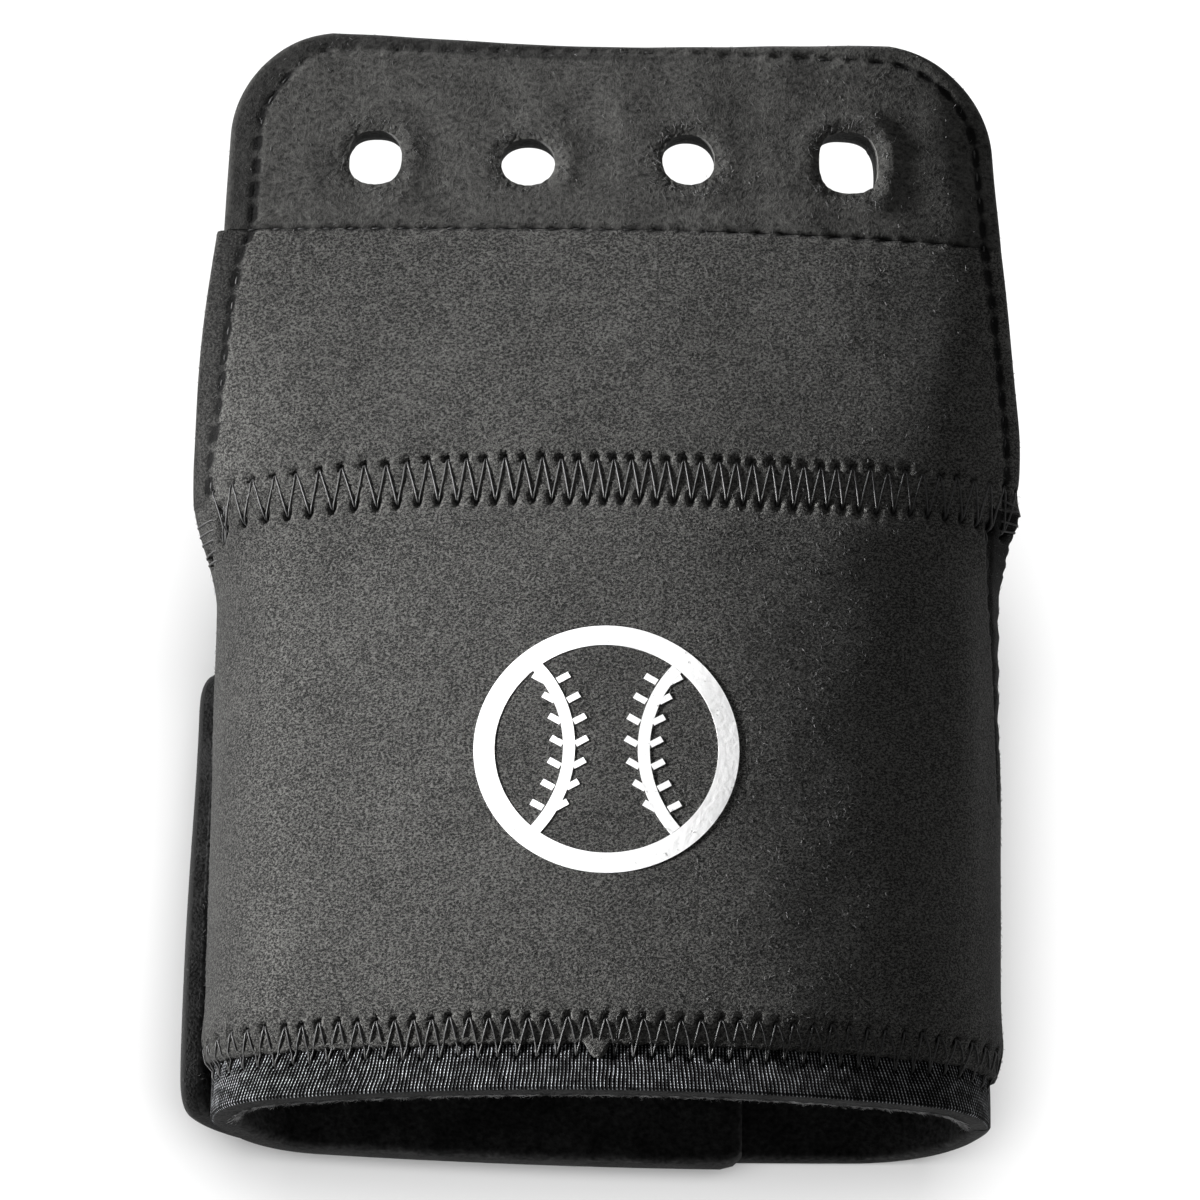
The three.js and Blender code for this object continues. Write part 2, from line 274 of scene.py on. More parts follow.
def sums(finish, operation, *values):
    """One step of arithmetic in a finish."""
    return add_node(finish, "Math", dict(enumerate(values)), operation=operation)


def grain(finish, stretch, scale, detail=2.0, turn=0.0, **settings):
    """Noise in the piece's own space, stretched along a direction. The scale is in cells to a millimetre."""
    where = finish.node_tree.nodes.new("ShaderNodeTexCoord").outputs["Object"]
    size = [scale / MM / length for length in stretch]
    mapped = add_node(finish, "Mapping", {"Vector": where, "Rotation": (0, 0, turn)}, vector_type="POINT")
    mapped = add_node(finish, "Mapping", {"Vector": mapped, "Scale": size}, vector_type="POINT")
    return add_node(finish, "TexNoise", {"Vector": mapped, "Scale": 1.0, "Detail": detail}, **settings)


def shades(finish, share, *stops):
    """A colour from a share, through stops of a place and a grey or a colour."""
    ramp = finish.node_tree.nodes.new("ShaderNodeValToRGB")
    link(finish, share, ramp.inputs[0])
    while len(ramp.color_ramp.elements) < len(stops):
        ramp.color_ramp.elements.new(0.5)
    for element, (place, colour) in zip(ramp.color_ramp.elements, stops):
        element.position = place
        element.color = (*colour, 1) if isinstance(colour, tuple) else (colour, colour, colour, 1)
    return ramp.outputs[0]


def raise_by(finish, shader, height, deep):
    """Bump from a height of 0 to 1, given its depth in millimetres."""
    bump = add_node(finish, "Bump", {"Height": height, "Distance": deep * MM, "Strength": 1.0})
    link(finish, bump, shader.inputs["Normal"])


def darken_by_painted_shade(finish, colour, *stops):
    """Darkens a colour by the shade painted on the piece: in needle pits, stitch grooves, creases and along
    turned sides.
    """
    sunk = add_node(finish, "Attribute", {}, attribute_name="sunk").node.outputs["Fac"]
    shaded = finish.node_tree.nodes.new("ShaderNodeMix")
    shaded.data_type = "RGBA"
    shaded.blend_type = "MULTIPLY"
    shaded.inputs[0].default_value = 1.0
    link(finish, colour, shaded.inputs[6])
    link(finish, shades(finish, sunk, *stops), shaded.inputs[7])
    return shaded.outputs[2]


def knit_finish():
    """Fine rib knit: rows of beaded stitches, pale on the crowns, with shade painted black into the valleys.
    """
    rib = 0.43
    stitch = 0.33
    lean = 0.0107
    lean_to = 6.0
    finish, shader = new_finish("knit", Roughness=0.85)
    shader.inputs["Specular IOR Level"].default_value = 0.06
    cloth = add_node(finish, "UVMap", {}, uv_map="cloth")
    split = finish.node_tree.nodes.new("ShaderNodeSeparateXYZ")
    link(finish, cloth, split.inputs[0])
    leaning = sums(finish, "MULTIPLY_ADD", sums(finish, "MINIMUM", split.outputs[1], lean_to), lean, 1.0)
    wale = sums(finish, "MULTIPLY", split.outputs[0], leaning)
    sway = sums(finish, "MULTIPLY_ADD", grain(finish, (1, 1, 1), 0.25, detail=1.0), 0.6, wale)
    across = sums(finish, "PINGPONG", sums(finish, "DIVIDE", sway, rib), 0.5)
    slant = sums(finish, "ADD", sums(finish, "DIVIDE", split.outputs[1], stitch), across)
    bead = sums(finish, "PINGPONG", slant, 0.5)
    crown = sums(finish, "MULTIPLY", across, 2.0)
    height = sums(finish, "MULTIPLY", crown, sums(finish, "MULTIPLY_ADD", bead, 0.8, 0.6))
    worn = grain(finish, (1, 1, 1), 0.9, detail=3.0)
    level = sums(finish, "MULTIPLY", height, sums(finish, "MULTIPLY_ADD", worn, 1.2, 0.4))
    # The colour follows the stitch height: the yarn's pale grey on the crowns, with shade painted near black
    # into the valleys.
    painted_valley_shade = (0.0006, 0.0006, 0.0007)
    flank = (0.036, 0.0371, 0.0389)
    top = (0.42, 0.433, 0.454)
    colour = shades(finish, level, (0.42, painted_valley_shade), (0.64, flank), (0.94, top))
    colour = darken_by_painted_shade(finish, colour, (0.15, 1.0), (0.7, 0.03))
    link(finish, colour, shader.inputs["Base Color"])
    raise_by(finish, shader, height, 0.2)
    return finish


def foam_finish():
    """Cut neoprene foam: smooth dark grey with fine closed cells."""
    finish, shader = new_finish("foam", Roughness=0.8)
    shader.inputs["Specular IOR Level"].default_value = 0.15
    cells = grain(finish, (1, 1, 1), 3.2, detail=2.0)
    cloudy = grain(finish, (1, 1, 1), 0.3, detail=2.0)
    level = sums(finish, "MULTIPLY_ADD", cells, 0.6, sums(finish, "MULTIPLY", cloudy, 0.4))
    link(finish, shades(finish, level, (0.38, 0.002), (0.66, 0.03)), shader.inputs["Base Color"])
    raise_by(finish, shader, cells, 0.16)
    return finish


def pile_finish():
    """Brushed pile lining: near black, in soft tufts."""
    finish, shader = new_finish("pile", Roughness=1.0)
    tufts = grain(finish, (1, 1, 1), 1.6, detail=4.0)
    lumps = grain(finish, (1, 1, 1), 0.16, detail=2.0)
    level = sums(finish, "MULTIPLY", tufts, sums(finish, "MULTIPLY_ADD", lumps, 1.2, 0.3))
    link(finish, shades(finish, level, (0.2, 0.01), (0.7, 0.07)), shader.inputs["Base Color"])
    shader.inputs["Specular IOR Level"].default_value = 0.1
    raise_by(finish, shader, tufts, 0.3)
    return finish


def sleeve_top(s):
    """The sleeve's upper edge, at the waist in front and lower on the wing."""
    past = np.clip((-s - WING_START) / WING_FILLET, 0, 1)
    return mix(WING_TOP, WAIST - SEAM_GAP / 2, 1 - np.sqrt(1 - (1 - past) ** 2))


def sleeve_bottom(s):
    """The sleeve's lower edge, which drops along the wing and is clipped at its end."""
    past = np.clip((-s - side_reach) / (wing_reach - side_reach), 0, 1)
    clip = np.clip(WING_CLIP - wing_reach - s, 0, WING_CLIP)
    return clip - WING_DROP * (1 - (1 - past) ** 2)


def sleeve_place(s, share):
    """Places of the sleeve, from its lower to its upper edge."""
    low = sleeve_bottom(s)
    return s, mix(low, sleeve_top(s), share)


def zigzag(seam, base):
    """Needle holes of a zigzag seam, in an upper and a lower row, with its drift in pitch and lean."""
    upper = [seam["start"]]
    half = (seam["end"] - seam["start"]) / 2
    while upper[-1] < seam["end"]:
        across = (upper[-1] - seam["start"]) / half - 1
        pitch = np.interp(across, [-1, 0, 1], seam["pitch"])
        upper.append(upper[-1] + pitch * (1 + PITCH_DRIFT * draws.uniform(-1, 1)))
    upper = np.array(upper)
    share = (upper - upper[0]) / (upper[-1] - upper[0])
    lean = mix(*seam["lean"], share[:-1])
    lower = upper[:-1] + lean * np.diff(upper)
    high = base + seam["above"] + HOLE_DRIFT * draws.uniform(-1, 1, upper.size)
    low = base - seam["below"] + HOLE_DRIFT * draws.uniform(-1, 1, lower.size)
    high = high - seam["sag"] * smooth(-upper, *SAG_REACH)
    low = low - seam["sag"] * smooth(-lower, *SAG_REACH)
    rising = (1 - np.append(lean, lean[-1])) * np.interp(share, [0, 0.5, 1], seam["pitch"])
    slant = rising / (seam["above"] + seam["below"])
    rows = {"upper": np.column_stack([upper, high]), "lower": np.column_stack([lower, low])}
    return {**seam, **rows, "slant": slant}


def pits(s, y, holes, size, slants=None):
    """How far needle holes pull each place in, from 0 to 1. A pit may reach along its slanting thread."""
    wide, tall, reach = size
    pull = np.zeros(s.size)
    for index, (hole_s, hole_y) in enumerate(holes):
        near = np.abs(s - hole_s) < PIT_REACH
        rise = y[near] - hole_y
        across = s[near] - hole_s - (0 if slants is None else slants[index] * rise)
        away = (across / wide) ** 2 + ((rise - reach) / tall) ** 2
        pull[near] = np.maximum(pull[near], np.exp(-away))
    return pull


def ragged(s, first, second, shift):
    """An unevenness along a cut, from -1 to 1, as the product of two waves."""
    return np.sin(first * s) * np.sin(second * s + shift)


def keep_painted_shade(piece, depth):
    """Keeps how much shade is painted at each point, in pits, grooves and creases and along turned sides,
    for the finish to darken.
    """
    layer = piece.data.attributes.new("sunk", "FLOAT", "POINT")
    layer.data.foreach_set("value", np.asarray(depth, np.float32))


draws = np.random.default_rng(11)
hem_seam = zigzag(HEM_SEAM, HEM)
knit = knit_finish()
foam = foam_finish()
pile = pile_finish()
sleeve_columns = places(
    -wing_reach, (1 - wing_reach, 0.2), (-back_reach, 1.5), (-HEM_SEWN, 0.9), (HEM_SEWN, 0.35),
    (side_reach - 1, 0.35), (side_reach - SEAM_GAP / 2, 0.2),
)
sleeve_rows = places(0, (1, 0.2), (2.6, 0.4), (5, 0.3), (WING_TOP, 2.4), (WAIST - 1, 1.2), (WAIST, 0.2))
sleeve = flat_cloth("sleeve", sleeve_columns, sleeve_rows / WAIST, sleeve_place)
sleeve_outline = outline_of(sleeve)
s, y, face = thicken(sleeve, SLEEVE_WALL, knit, pile, foam)
edge = distance_to(sleeve_outline, np.column_stack([s, y]))
pull = pits(s, y, hem_seam["lower"], hem_seam["low_pit"])
knit_side = -rounding(edge, CUT_EDGE) - KNIT_PIT["deep"] * pull
tufts = ragged(s, *RAGGED_PILE["waves"]) * np.exp(-((edge / RAGGED_PILE["over"]) ** 2))
pile_side = rounding(edge, PILE_EDGE) + RAGGED_PILE["raise"] * tufts - SLEEVE_WALL
set_points(sleeve, on_cuff(s, y, np.where(face, knit_side, pile_side)))
# Shade is painted into the knit's needle holes.
keep_painted_shade(sleeve, np.where(face, KNIT_PIT["dark"] * pull, 0))
finish_piece(sleeve, "knit", "cuff_sleeve")

# Closure strap: a wide band of the same foam, faced with a loop pile that the hook tape can grip.
# It is sewn to the sleeve at the right side, rolls under the back and comes up the left side to a round end.
STRAP_TOP_AT_SEAM = 57
STRAP_TOP_AT_END = 55.5
STRAP_CORNER = 6
STRAP_BOW = 0.6
STRAP_RISE = 2
STRAP_RISE_LATE = 4
STRAP_END_LOW = math.radians(3)
STRAP_END_HIGH = math.radians(-13)
STRAP_SKEW_FROM = 8
STRAP_FLARE = 0.3
STRAP_EDGE = 0.7
STRAP_CORNER_STEPS = 14
STRAP_TALL = 55.2
STRAP_FINE_EDGE = 1.2

corner_reach = side_height * math.pi / 2
corner_x = CUFF_WIDTH / 2 - side_height
strap_back = corner_x + side_x
strap_turn = corner_reach + strap_back


def on_strap(s, y, h):
    """Points of the strap in the frame: a corner, the flat back, and the left corner."""
    right = s / side_height
    radius = side_height + h + RIM_FLARE["right"] * rim_flare(y) * (1 - smooth(s, 0, RIM_FLARE["fades"]))
    left = (s - strap_turn) / side_height
    flare = STRAP_FLARE * np.clip(1 - y / STRAP_TOP_AT_END, 0, 1) * (1 - np.cos(left))
    on_right = s < corner_reach
    on_left = s >= strap_turn
    x = np.where(on_right, corner_x + radius * np.cos(right), corner_x + corner_reach - s)
    x = np.where(on_left, -side_x - radius * np.sin(left) - flare, x)
    z = np.where(on_right, side_height - radius * np.sin(right), -h)
    z = np.where(on_left, side_height - radius * np.cos(left), z)
    return MM * np.stack([x, y - REST_CENTRE + 0 * x, z], axis=-1)


def strap_end(y):
    """How far round the strap's skewed end lies at each height."""
    share = smooth(y, STRAP_SKEW_FROM, STRAP_TOP_AT_END - STRAP_CORNER)
    return strap_turn + side_height * (math.pi / 2 + mix(STRAP_END_LOW, STRAP_END_HIGH, share))


strap_length = float(strap_end(STRAP_TOP_AT_END))
strap_straight = strap_length - STRAP_CORNER


def strap_place(length, share):
    """Places of the strap, with its bowed edges and the round corners of its end."""
    base = np.minimum(length, strap_straight)
    run = np.clip(base / strap_length, 0, 1)
    round_off = np.clip((length - strap_straight) / STRAP_CORNER, 0, 1)
    cut = STRAP_CORNER * (1 - np.sqrt(1 - round_off**2))
    low = STRAP_RISE * run**STRAP_RISE_LATE - STRAP_BOW * (1 - (2 * run - 1) ** 2)
    high = mix(STRAP_TOP_AT_SEAM, STRAP_TOP_AT_END, run)
    y = mix(low + cut, high - cut, share)
    return length + (strap_end(y) - strap_length) * smooth(base, strap_turn, strap_straight), y


def strap_finish():
    """Loop pile: matt charcoal with tiny brushed loops."""
    finish, shader = new_finish("strap_knit", Roughness=0.9)
    loops = grain(finish, (1, 1, 1), 2.4, detail=3.0, noise_type="RIDGED_MULTIFRACTAL")
    brushed = grain(finish, (1, 3, 1), 0.25, detail=3.0)
    level = sums(finish, "MULTIPLY", loops, sums(finish, "MULTIPLY_ADD", brushed, 1.0, 0.3))
    link(finish, shades(finish, level, (0.1, 0.006), (0.9, 0.042)), shader.inputs["Base Color"])
    raise_by(finish, shader, loops, 0.1)
    return finish


strap_knit = strap_finish()
corner_turns = np.linspace(0, math.pi / 2, STRAP_CORNER_STEPS + 1)[1:]
corner_lengths = strap_straight + STRAP_CORNER * np.sin(corner_turns)
strap_columns = places(SEAM_GAP / 2, (1, 0.2), (corner_reach, 0.9), (strap_turn, 1.5), (strap_straight, 0.9))
strap_columns = np.concatenate([strap_columns, corner_lengths])
strap_rows = places(0, (STRAP_FINE_EDGE, 0.2), (STRAP_TALL - STRAP_FINE_EDGE, 1.6), (STRAP_TALL, 0.2))
strap = flat_cloth("strap", strap_columns, strap_rows / STRAP_TALL, strap_place)
strap_outline = outline_of(strap)
s, y, face = thicken(strap, STRAP_WALL, strap_knit, pile, foam)
edge = distance_to(strap_outline, np.column_stack([s, y]))
h = np.where(face, -rounding(edge, STRAP_EDGE), rounding(edge, STRAP_EDGE) - STRAP_WALL)
set_points(strap, on_strap(s, y, h))
finish_piece(strap, "strap_knit", "closure_strap")

# Hook tape: a moulded strip of tiny hooks, sewn inside the strap's end, where it grips the left wing.
# It is hidden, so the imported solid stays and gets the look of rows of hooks.
HOOKS_TO_MM = 0.7


def hook_finish():
    """Moulded hooks: dark plastic in close rows of small bumps."""
    finish, shader = new_finish("hook", Roughness=0.55)
    where = finish.node_tree.nodes.new("ShaderNodeTexCoord").outputs["Object"]
    rows = add_node(finish, "TexVoronoi", {"Vector": where, "Scale": HOOKS_TO_MM / MM, "Randomness": 0.15})
    link(finish, shades(finish, rows, (0.1, 0.03), (0.6, 0.006)), shader.inputs["Base Color"])
    raise_by(finish, shader, rows, 0.3)
    return finish


hook_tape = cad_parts["hook_tab"]
hook_tape.data.materials.clear()
hook_tape.data.materials.append(hook_finish())

# Front panel: charcoal suede on thin foam, laid over the front of the cuff and padded between its seams.
# A zigzag holds it down at the hem and another joins it to the flap at the waist, and each needle hole
# pulls the suede into a small pit. A little tongue of suede hangs out at the middle of the hem.
SUEDE_WALL = 1.6
SUEDE_UNDER = 0.06
SUEDE_FACE = SEAM_GAP + SUEDE_WALL
PANEL_LEFT = 49
PANEL_WIDENS = {"from": 7, "by": 1.1}
PANEL_RIGHT = 49.6
PANEL_RIGHT_AT_WAIST = 48.2
PANEL_NARROWS_FROM = 40
PANEL_SWELL = 1.8
SWELL_LEAN = 0.4
SIM_WIDTH = 4.9
SIM_HEIGHT = 3.3
SIM_POINTS = (41, 29)
SIM_FRAMES = 20
SIM_PRESSURE = 4
SWELL_WAVES = 7
CROSSING_WAVES = {"count": 4, "first_turn": 0.6, "turn": 0.9}
PANEL_UNEVEN = {"raise": 0.1, "lengths": (17, 23, 11), "seed": 5}
HEM_PRESS = {"middle": 1.4, "sides": 1.05, "reach": (38, 46), "tall": 5}
WAIST_PRESS = {"deep": 0.28, "tall": 5}
WAIST_BUTT = 0.004
SIDE_RIDGE = {"raise": 0.45, "at": 40, "wide": 2.4, "starts": (24, 36), "ends": (56, 66)}
SUEDE_EDGE = 0.85
HEM_EDGE = 0.5
TONGUE = {"at": -0.5, "long": 1.6, "half_width": 1.25, "powers": (2.2, 0.6)}
HEM_CUT = {"above": 0.6, "left": 0.55, "reach": (40, 48)}
HEM_RAGGED = {"raise": 0.12, "waves": (2.9, 1.3, 1), "fine": 0.06, "fine_wave": 7.1}
WAIST_SEAM = {
    "above": 2.9, "below": 2.5, "start": -46.2, "end": 46.4, "pitch": (2.75, 1.95, 1.95),
    "lean": (0.75, 0.22), "bow": (0.0, 0.15), "top_pit": (0.3, 0.45, -0.2), "low_pit": (0.34, 0.75, 0.35),
    "sag": 1.3,
}
SEAM_PIT = 0.95
TACK_PITS = {"holes": [(-44.6, 69.5), (-44.6, 68.1), (-44.6, 66.7), (-47.6, 65.4)], "size": (0.45, 0.8, 0)}
SIDE_SEAM = {
    "heights": [38, 50, 60, 69], "places": [46.6, 45.8, 44.6, 43.4], "wide": 0.4, "deep": 0.5, "dark": 0.55,
}
# Shade is painted past the side seam, into the pucker creases there, and along the panel's left and right
# sides.
PUCKER = {"over": 0.6, "heights": (40, 48), "pitch": 1.35, "deep": 0.22, "dark": 0.2, "base_dark": 0.35}
PAINTED_SIDE_SHADE = {"left": 0.38, "left_reach": (33, 43), "right": 0.45, "right_reach": (40, 46)}
KNOT = {"at": 48.2, "height": 70.4, "wide": 1.5, "tall": 1.7, "raise": 0.9}

waist_seam = zigzag(WAIST_SEAM, WAIST)


def waves(s, y, uneven):
    """A slow unevenness of the padding, from a few waves that cross it in different directions."""
    random = np.random.default_rng(uneven["seed"])
    starts = random.uniform(0, 2 * math.pi, (CROSSING_WAVES["count"], 2))[:, 0]
    total = np.zeros(np.shape(s))
    for turn, start in enumerate(starts):
        angle = CROSSING_WAVES["first_turn"] + turn * CROSSING_WAVES["turn"]
        along = s * math.cos(angle) + y * math.sin(angle)
        length = uneven["lengths"][turn % len(uneven["lengths"])]
        total = total + np.sin(2 * math.pi * along / length + start) / len(starts)
    return uneven["raise"] * total


def panel_right(y):
    """How far the panel's right side lies from the middle."""
    return mix(PANEL_RIGHT, PANEL_RIGHT_AT_WAIST, smooth(y, PANEL_NARROWS_FROM, WAIST))


def panel_left(y):
    """How far the panel's left side lies from the middle."""
    return PANEL_LEFT + PANEL_WIDENS["by"] * smooth(y, WAIST - PANEL_WIDENS["from"], WAIST)


def swollen_heights(columns, rows):
    """Lets the sewn-down suede swell as cloth under the push of its padding, and gives its heights."""
    across = np.linspace(0, SIM_WIDTH, columns)
    up = np.linspace(0, SIM_HEIGHT, rows)
    sheet = flat_cloth("swell", across, up, lambda s, y: (s, y))
    flat = points_of(sheet) / [SIM_WIDTH, SIM_HEIGHT, 1]
    sewn = sheet.vertex_groups.new(name="sewn")
    padding = sheet.vertex_groups.new(name="padding")
    for index, (across, up, _) in enumerate(flat):
        if min(across, 1 - across, up, 1 - up) < 1e-4:
            sewn.add([index], 1.0, "REPLACE")
        padding.add([index], mix(1 - SWELL_LEAN, 1, up), "REPLACE")
    cloth = sheet.modifiers.new("cloth", "CLOTH")
    cloth.settings.vertex_group_mass = sewn.name
    cloth.settings.vertex_group_pressure = padding.name
    cloth.settings.use_pressure = True
    cloth.settings.uniform_pressure_force = SIM_PRESSURE
    cloth.settings.effector_weights.gravity = 0
    cloth.collision_settings.use_collision = False
    cloth.point_cache.frame_end = SIM_FRAMES
    for frame_number in range(1, SIM_FRAMES + 1):
        bpy.context.scene.frame_set(frame_number)
    only(sheet)
    bpy.ops.object.modifier_apply(modifier=cloth.name)
    bpy.context.scene.frame_set(1)
    heights = np.maximum(points_of(sheet)[:, 2].reshape(rows, columns), 0)
    bpy.data.objects.remove(sheet)
    return PANEL_SWELL * heights / heights.max()


def waves_of(heights):
    """The same heights as a sum of standing waves, which are smooth between the points of the simulation."""
    rows, columns = heights.shape
    up = np.sin(math.pi * np.outer(np.arange(1, SWELL_WAVES + 1), np.linspace(0, 1, rows)))
    across = np.sin(math.pi * np.outer(np.arange(1, SWELL_WAVES + 1), np.linspace(0, 1, columns)))
    return 4 / (rows - 1) / (columns - 1) * up @ heights @ across.T


swell_shares = waves_of(swollen_heights(*SIM_POINTS))


def panel_swell(s, y):
    """How far the padding lifts the suede at each place."""
    across = np.clip((s + PANEL_LEFT) / (2 * PANEL_LEFT), 0, 1)
    up = np.clip((y - HEM) / (WAIST - HEM), 0, 1)
    total = 0
    for row in range(SWELL_WAVES):
        for column in range(SWELL_WAVES):
            wave = np.sin(math.pi * (row + 1) * up) * np.sin(math.pi * (column + 1) * across)
            total = total + swell_shares[row, column] * wave
    return total


def seam_pull(s, y):
    """Pits of the waist seam and the hem, from 0 to 1."""
    pull = pits(s, y, waist_seam["upper"], waist_seam["top_pit"])
    pull = np.maximum(pull, pits(s, y, waist_seam["lower"], waist_seam["low_pit"]))
    pull = np.maximum(pull, pits(s, y, TACK_PITS["holes"], TACK_PITS["size"]))
    return np.maximum(pull, pits(s, y, hem_seam["upper"], hem_seam["top_pit"], hem_seam["slant"]))


def knot(s, y):
    """The lump of the bar tack at the right end of the waist."""
    across = (s - KNOT["at"]) / KNOT["wide"]
    up = (y - KNOT["height"]) / KNOT["tall"]
    return KNOT["raise"] * np.exp(-(across**2) - up**2)


def panel_height(s, y):
    """Height of the suede's face, without its rolled edges."""
    hem_deep = mix(HEM_PRESS["middle"], HEM_PRESS["sides"], smooth(np.abs(s), *HEM_PRESS["reach"]))
    pressed = hem_deep * (1 - smooth(y, HEM, HEM + HEM_PRESS["tall"]))
    pressed = pressed + WAIST_PRESS["deep"] * smooth(y, WAIST - WAIST_PRESS["tall"], WAIST)
    ridge = SIDE_RIDGE["raise"] * np.exp(-(((s - SIDE_RIDGE["at"]) / SIDE_RIDGE["wide"]) ** 2))
    ridge = ridge * smooth(y, *SIDE_RIDGE["starts"]) * (1 - smooth(y, *SIDE_RIDGE["ends"]))
    return SUEDE_FACE + panel_swell(s, y) + ridge + waves(s, y, PANEL_UNEVEN) + knot(s, y) - pressed


def hem_cut(s):
    """The suede's cut edge at the hem, a little ragged and a little higher at the left end."""
    rough = HEM_RAGGED["raise"] * ragged(s, *HEM_RAGGED["waves"])
    rough = rough + HEM_RAGGED["fine"] * np.sin(HEM_RAGGED["fine_wave"] * s)
    return HEM + HEM_CUT["above"] + HEM_CUT["left"] * smooth(-s, *HEM_CUT["reach"]) + rough


def panel_low(s):
    """The lower edge of the panel, with the tongue at its middle."""
    side, tip = TONGUE["powers"]
    away = np.abs(s - TONGUE["at"]) / TONGUE["half_width"]
    return hem_cut(s) - TONGUE["long"] * np.clip(1 - away**side, 0, 1) ** tip


def panel_place(column, share):
    """Places of the panel, from shares across it and up it."""
    y = mix(HEM, WAIST, share)
    s = np.where(column < 0, column * panel_left(y), column * panel_right(y))
    low = panel_low(s)
    return s, mix(low, WAIST - WAIST_BUTT, share)


COMBED = [{"turn": 0.12, "size": 1.0}, {"turn": -0.4, "size": 0.85}]
CURLED = [{"turn": 0.6, "size": 0.9}, {"turn": -0.9, "size": 1.1}]
STRAND = 0.07
STRANDS_SHOW = 0.18
NAP_LEVEL = 0.6
BODY_NAP = {"cells": 5.2, "soft": 0.19, "patch": 0.12, "uneven": 0.07, "deep": 0.2}


def suede_finish(name, ground, tips, nap):
    """Brushed suede: short combed fibres and curly strands, pale on a dark ground, in slow patches."""
    finish, shader = new_finish(name, Roughness=0.95, Sheen_Weight=0.05, Sheen_Roughness=0.4)
    shader.inputs["Specular IOR Level"].default_value = 0.2
    combed = 0.0
    tangle = 0.0
    for row in COMBED:
        fibres = grain(finish, (1.5, 1, 1), row["size"] * nap["cells"], detail=2.0, turn=row["turn"])
        combed = sums(finish, "MULTIPLY_ADD", fibres, 1 / len(COMBED), combed)
    for row in CURLED:
        bend = grain(finish, (1.4, 1, 1), row["size"] * nap["cells"], detail=1.0, turn=row["turn"])
        off = sums(finish, "ABSOLUTE", sums(finish, "ADD", bend, -0.5))
        strand = sums(finish, "MULTIPLY_ADD", off, -1 / STRAND, 1.0)
        tangle = sums(finish, "MAXIMUM", strand, tangle)
    patch = grain(finish, (1, 1, 1), nap["patch"], detail=3.0)
    slow = sums(finish, "MULTIPLY_ADD", patch, nap["uneven"], -0.5 * nap["uneven"])
    level = sums(finish, "ADD", sums(finish, "MULTIPLY_ADD", tangle, STRANDS_SHOW, combed), slow)
    half = nap["soft"] / 2
    colour = shades(finish, level, (NAP_LEVEL - half, ground), (NAP_LEVEL + half, tips))
    # The shade painted on the piece darkens the suede's colour.
    link(finish, darken_by_painted_shade(finish, colour, (0.12, 1.0), (0.75, 0.05)), shader.inputs["Base Color"])
    raise_by(finish, shader, level, nap["deep"])
    return finish


def line_through(points):
    """The straight lines from point to point."""
    return np.stack([points[:-1], points[1:]], axis=1)


suede = suede_finish("suede", (0.008, 0.0079, 0.0075), (0.105, 0.1037, 0.0987), BODY_NAP)
panel_sides = np.array([0.988, 0.994, 0.998, 1])
panel_columns = np.concatenate([-panel_sides[::-1], np.linspace(-0.98, 0.98, 320), panel_sides])
panel_rows = places(HEM, (HEM + 0.6, 0.15), (HEM + 6, 0.36), (WAIST - 6.5, 1.0), (WAIST, 0.36))
panel_rows = (panel_rows - HEM) / (WAIST - HEM)
panel = flat_cloth("suede_panel", panel_columns, panel_rows, panel_place)
panel_outline = outline_of(panel)
s, y, face = thicken(panel, SUEDE_WALL, suede, foam, suede)
not_waist = panel_outline[:, :, 1].min(1) < WAIST - 0.2
edge = distance_to(panel_outline[not_waist], np.column_stack([s, y]))
at_hem = np.minimum(s + panel_left(y), panel_right(y) - s) > 2
roll = rounding(edge, np.where(at_hem, HEM_EDGE, SUEDE_EDGE))
pull = seam_pull(s, y)
side_heights = np.arange(SIDE_SEAM["heights"][0], SIDE_SEAM["heights"][-1] + 1.0)
side_places = np.interp(side_heights, SIDE_SEAM["heights"], SIDE_SEAM["places"])
side_line = np.column_stack([side_places, side_heights])
side_away = distance_to(line_through(side_line), np.column_stack([s, y]))
side_groove = np.exp(-((side_away / SIDE_SEAM["wide"]) ** 2))
past_seam = smooth(s - np.interp(y, SIDE_SEAM["heights"], SIDE_SEAM["places"]), 0, PUCKER["over"])
past_seam = past_seam * smooth(y, *PUCKER["heights"])
gathers = np.sin(2 * math.pi * y / PUCKER["pitch"] + 0.7 * np.sin(0.9 * y))
pucker = past_seam * (0.5 + 0.5 * gathers)
h = panel_height(s, y) - roll - SEAM_PIT * pull - SIDE_SEAM["deep"] * side_groove - PUCKER["deep"] * pucker
set_points(panel, on_cuff(s, y, np.where(face, np.maximum(h, SUEDE_UNDER), SUEDE_UNDER)))
# Shade is painted into the suede: into the pits and the side seam's groove, into the pucker creases and over
# the strip past the side seam, and along the panel's left and right sides.
painted_side_shade = PUCKER["base_dark"] * past_seam + PUCKER["dark"] * pucker
painted_side_shade = painted_side_shade + PAINTED_SIDE_SHADE["left"] * smooth(-s, *PAINTED_SIDE_SHADE["left_reach"])
painted_side_shade = painted_side_shade + PAINTED_SIDE_SHADE["right"] * smooth(s, *PAINTED_SIDE_SHADE["right_reach"])
keep_painted_shade(panel, np.where(face, np.maximum.reduce([pull, SIDE_SEAM["dark"] * side_groove, painted_side_shade]), 0))
finish_piece(panel, "suede", "front_panel")

